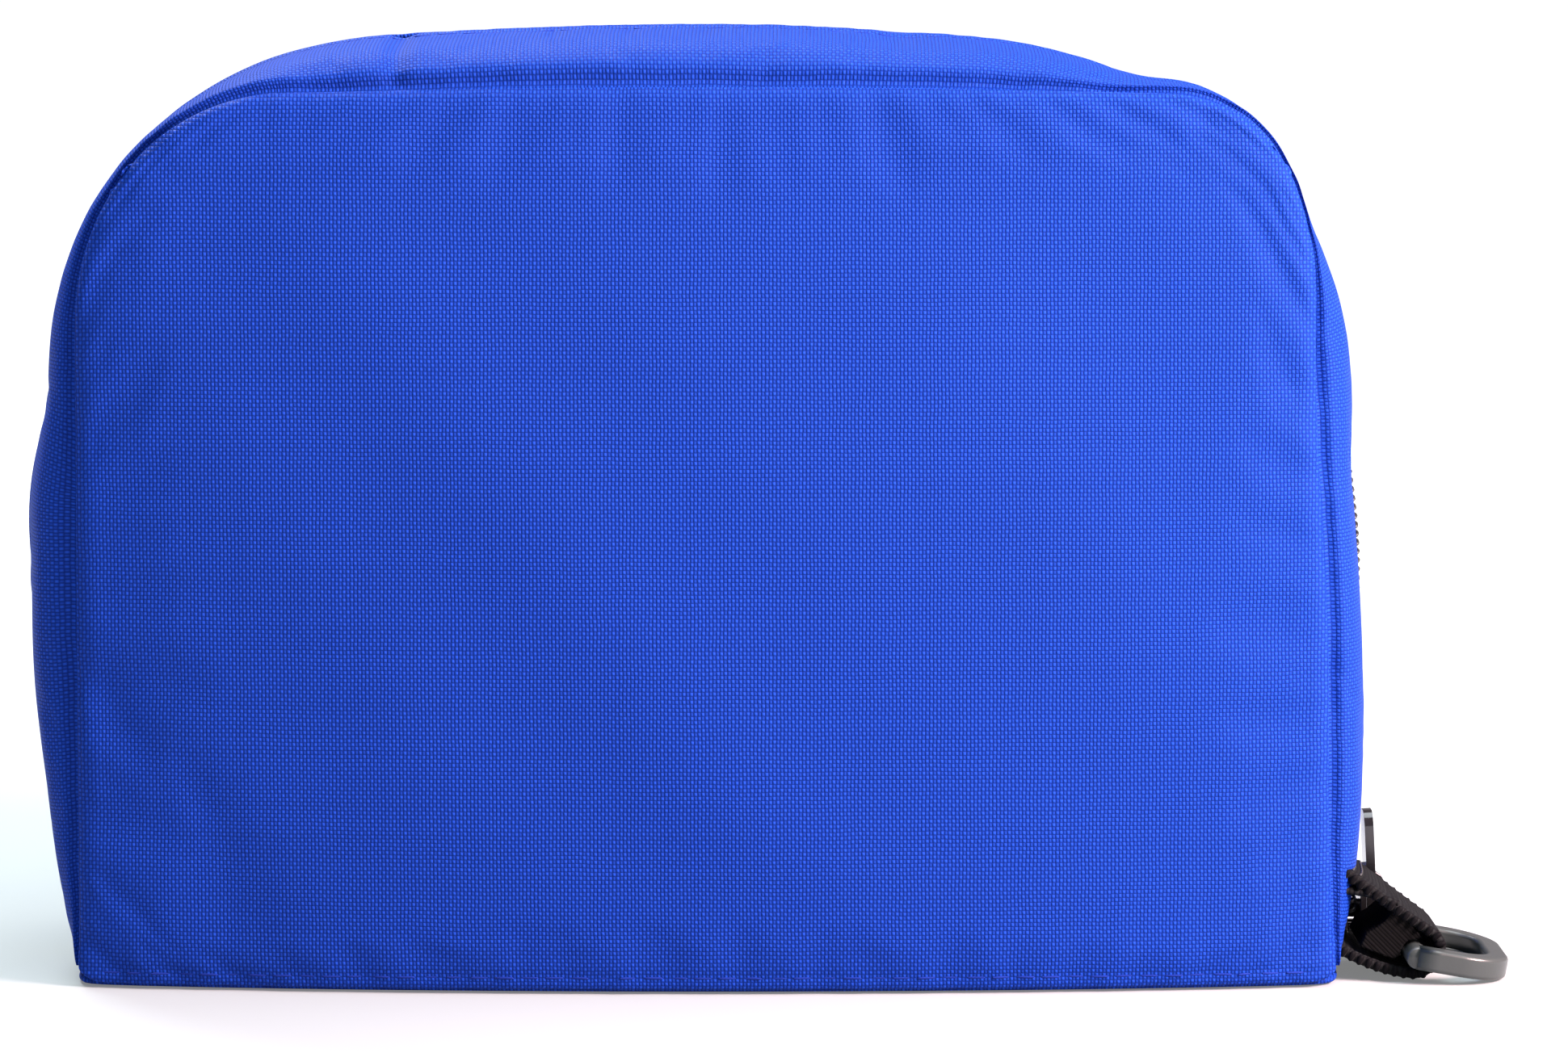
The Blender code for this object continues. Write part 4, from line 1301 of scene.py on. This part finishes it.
def area_light(name, place, target, size, power, colour):
    light = bpy.data.lights.new(name, "AREA")
    light.shape = "DISK"
    light.size = size
    light.energy = power
    light.color = colour
    made = linked(name, light)
    made.location = place
    made.rotation_euler = (Vector(target) - Vector(place)).to_track_quat("-Z", "Y").to_euler()


def floor_material():
    """Plain white; far from the object, where less light falls, it glows a little more."""
    material, tree, shader = new_material("floor_white", (0.31, 0.34, 0.35), 0.9, specular=0.0)
    shader.inputs["Emission Color"].default_value = (0.99, 1.0, 1.0, 1)
    place = tree.nodes.new("ShaderNodeTexCoord").outputs["Object"]
    away = vector_calc(tree, "LENGTH", place).node
    rise = tree.nodes.new("ShaderNodeMapRange")
    rise.interpolation_type = "SMOOTHSTEP"
    for socket, value in zip(rise.inputs[1:5], (0.15, 0.9, 0.20, 0.97)):
        socket.default_value = value
    tree.links.new(away.outputs["Value"], rise.inputs[0])
    tree.links.new(rise.outputs[0], shader.inputs["Emission Strength"])
    return material


def set_stage():
    """A white floor and three soft lights: a warm one at the right, one overhead and one behind."""
    corners = [(x * FLOOR_REACH, y * FLOOR_REACH, FLOOR_Z) for x, y in ((-1, -1), (1, -1), (1, 1), (-1, 1))]
    floor = make_mesh("floor", corners, [[0, 1, 2, 3]], floor_material(), smooth=False)
    bpy.context.scene.world = studio_world()
    area_light("key", (0.46, -0.26, 0.30), (0.04, -0.03, 0.06), 0.22, 13, (1, 0.72, 0.71))
    area_light("overhead", (0, -0.05, 1.0), (0, -0.05, 0), 0.9, 13, (0.93, 1, 1))
    area_light("back", (-0.35, 0.5, 0.8), (-0.08, 0.06, 0), 0.4, 12, (0.95, 1, 1))


def studio_world():
    """Soft light that fades from the right side of the studio to the left."""
    world = bpy.data.worlds.new("studio")
    world.use_nodes = True
    tree = world.node_tree
    direction = tree.nodes.new("ShaderNodeTexCoord").outputs["Generated"]
    parts = tree.nodes.new("ShaderNodeSeparateXYZ")
    tree.links.new(direction, parts.inputs[0])
    share = calc(tree, "MULTIPLY_ADD", parts.outputs[0], 0.5, 0.5, clamp=True)
    colour = mix_colour(tree, share, (0.0, 0.05, 0.09), (0.50, 0.40, 0.40))
    tree.links.new(colour, tree.nodes["Background"].inputs["Color"])
    return world


def set_camera():
    camera = bpy.data.cameras.new("camera")
    camera.lens = CAMERA_LENS
    camera.sensor_width = 36
    camera.clip_start = 0.01
    camera.clip_end = 200
    made = linked("camera", camera)
    made.location = CAMERA_PLACE
    made.rotation_euler = (math.radians(90 - CAMERA_DOWN), 0, 0)
    bpy.context.scene.camera = made


set_stage()
set_camera()
bpy.context.scene.view_settings.view_transform = "Standard"
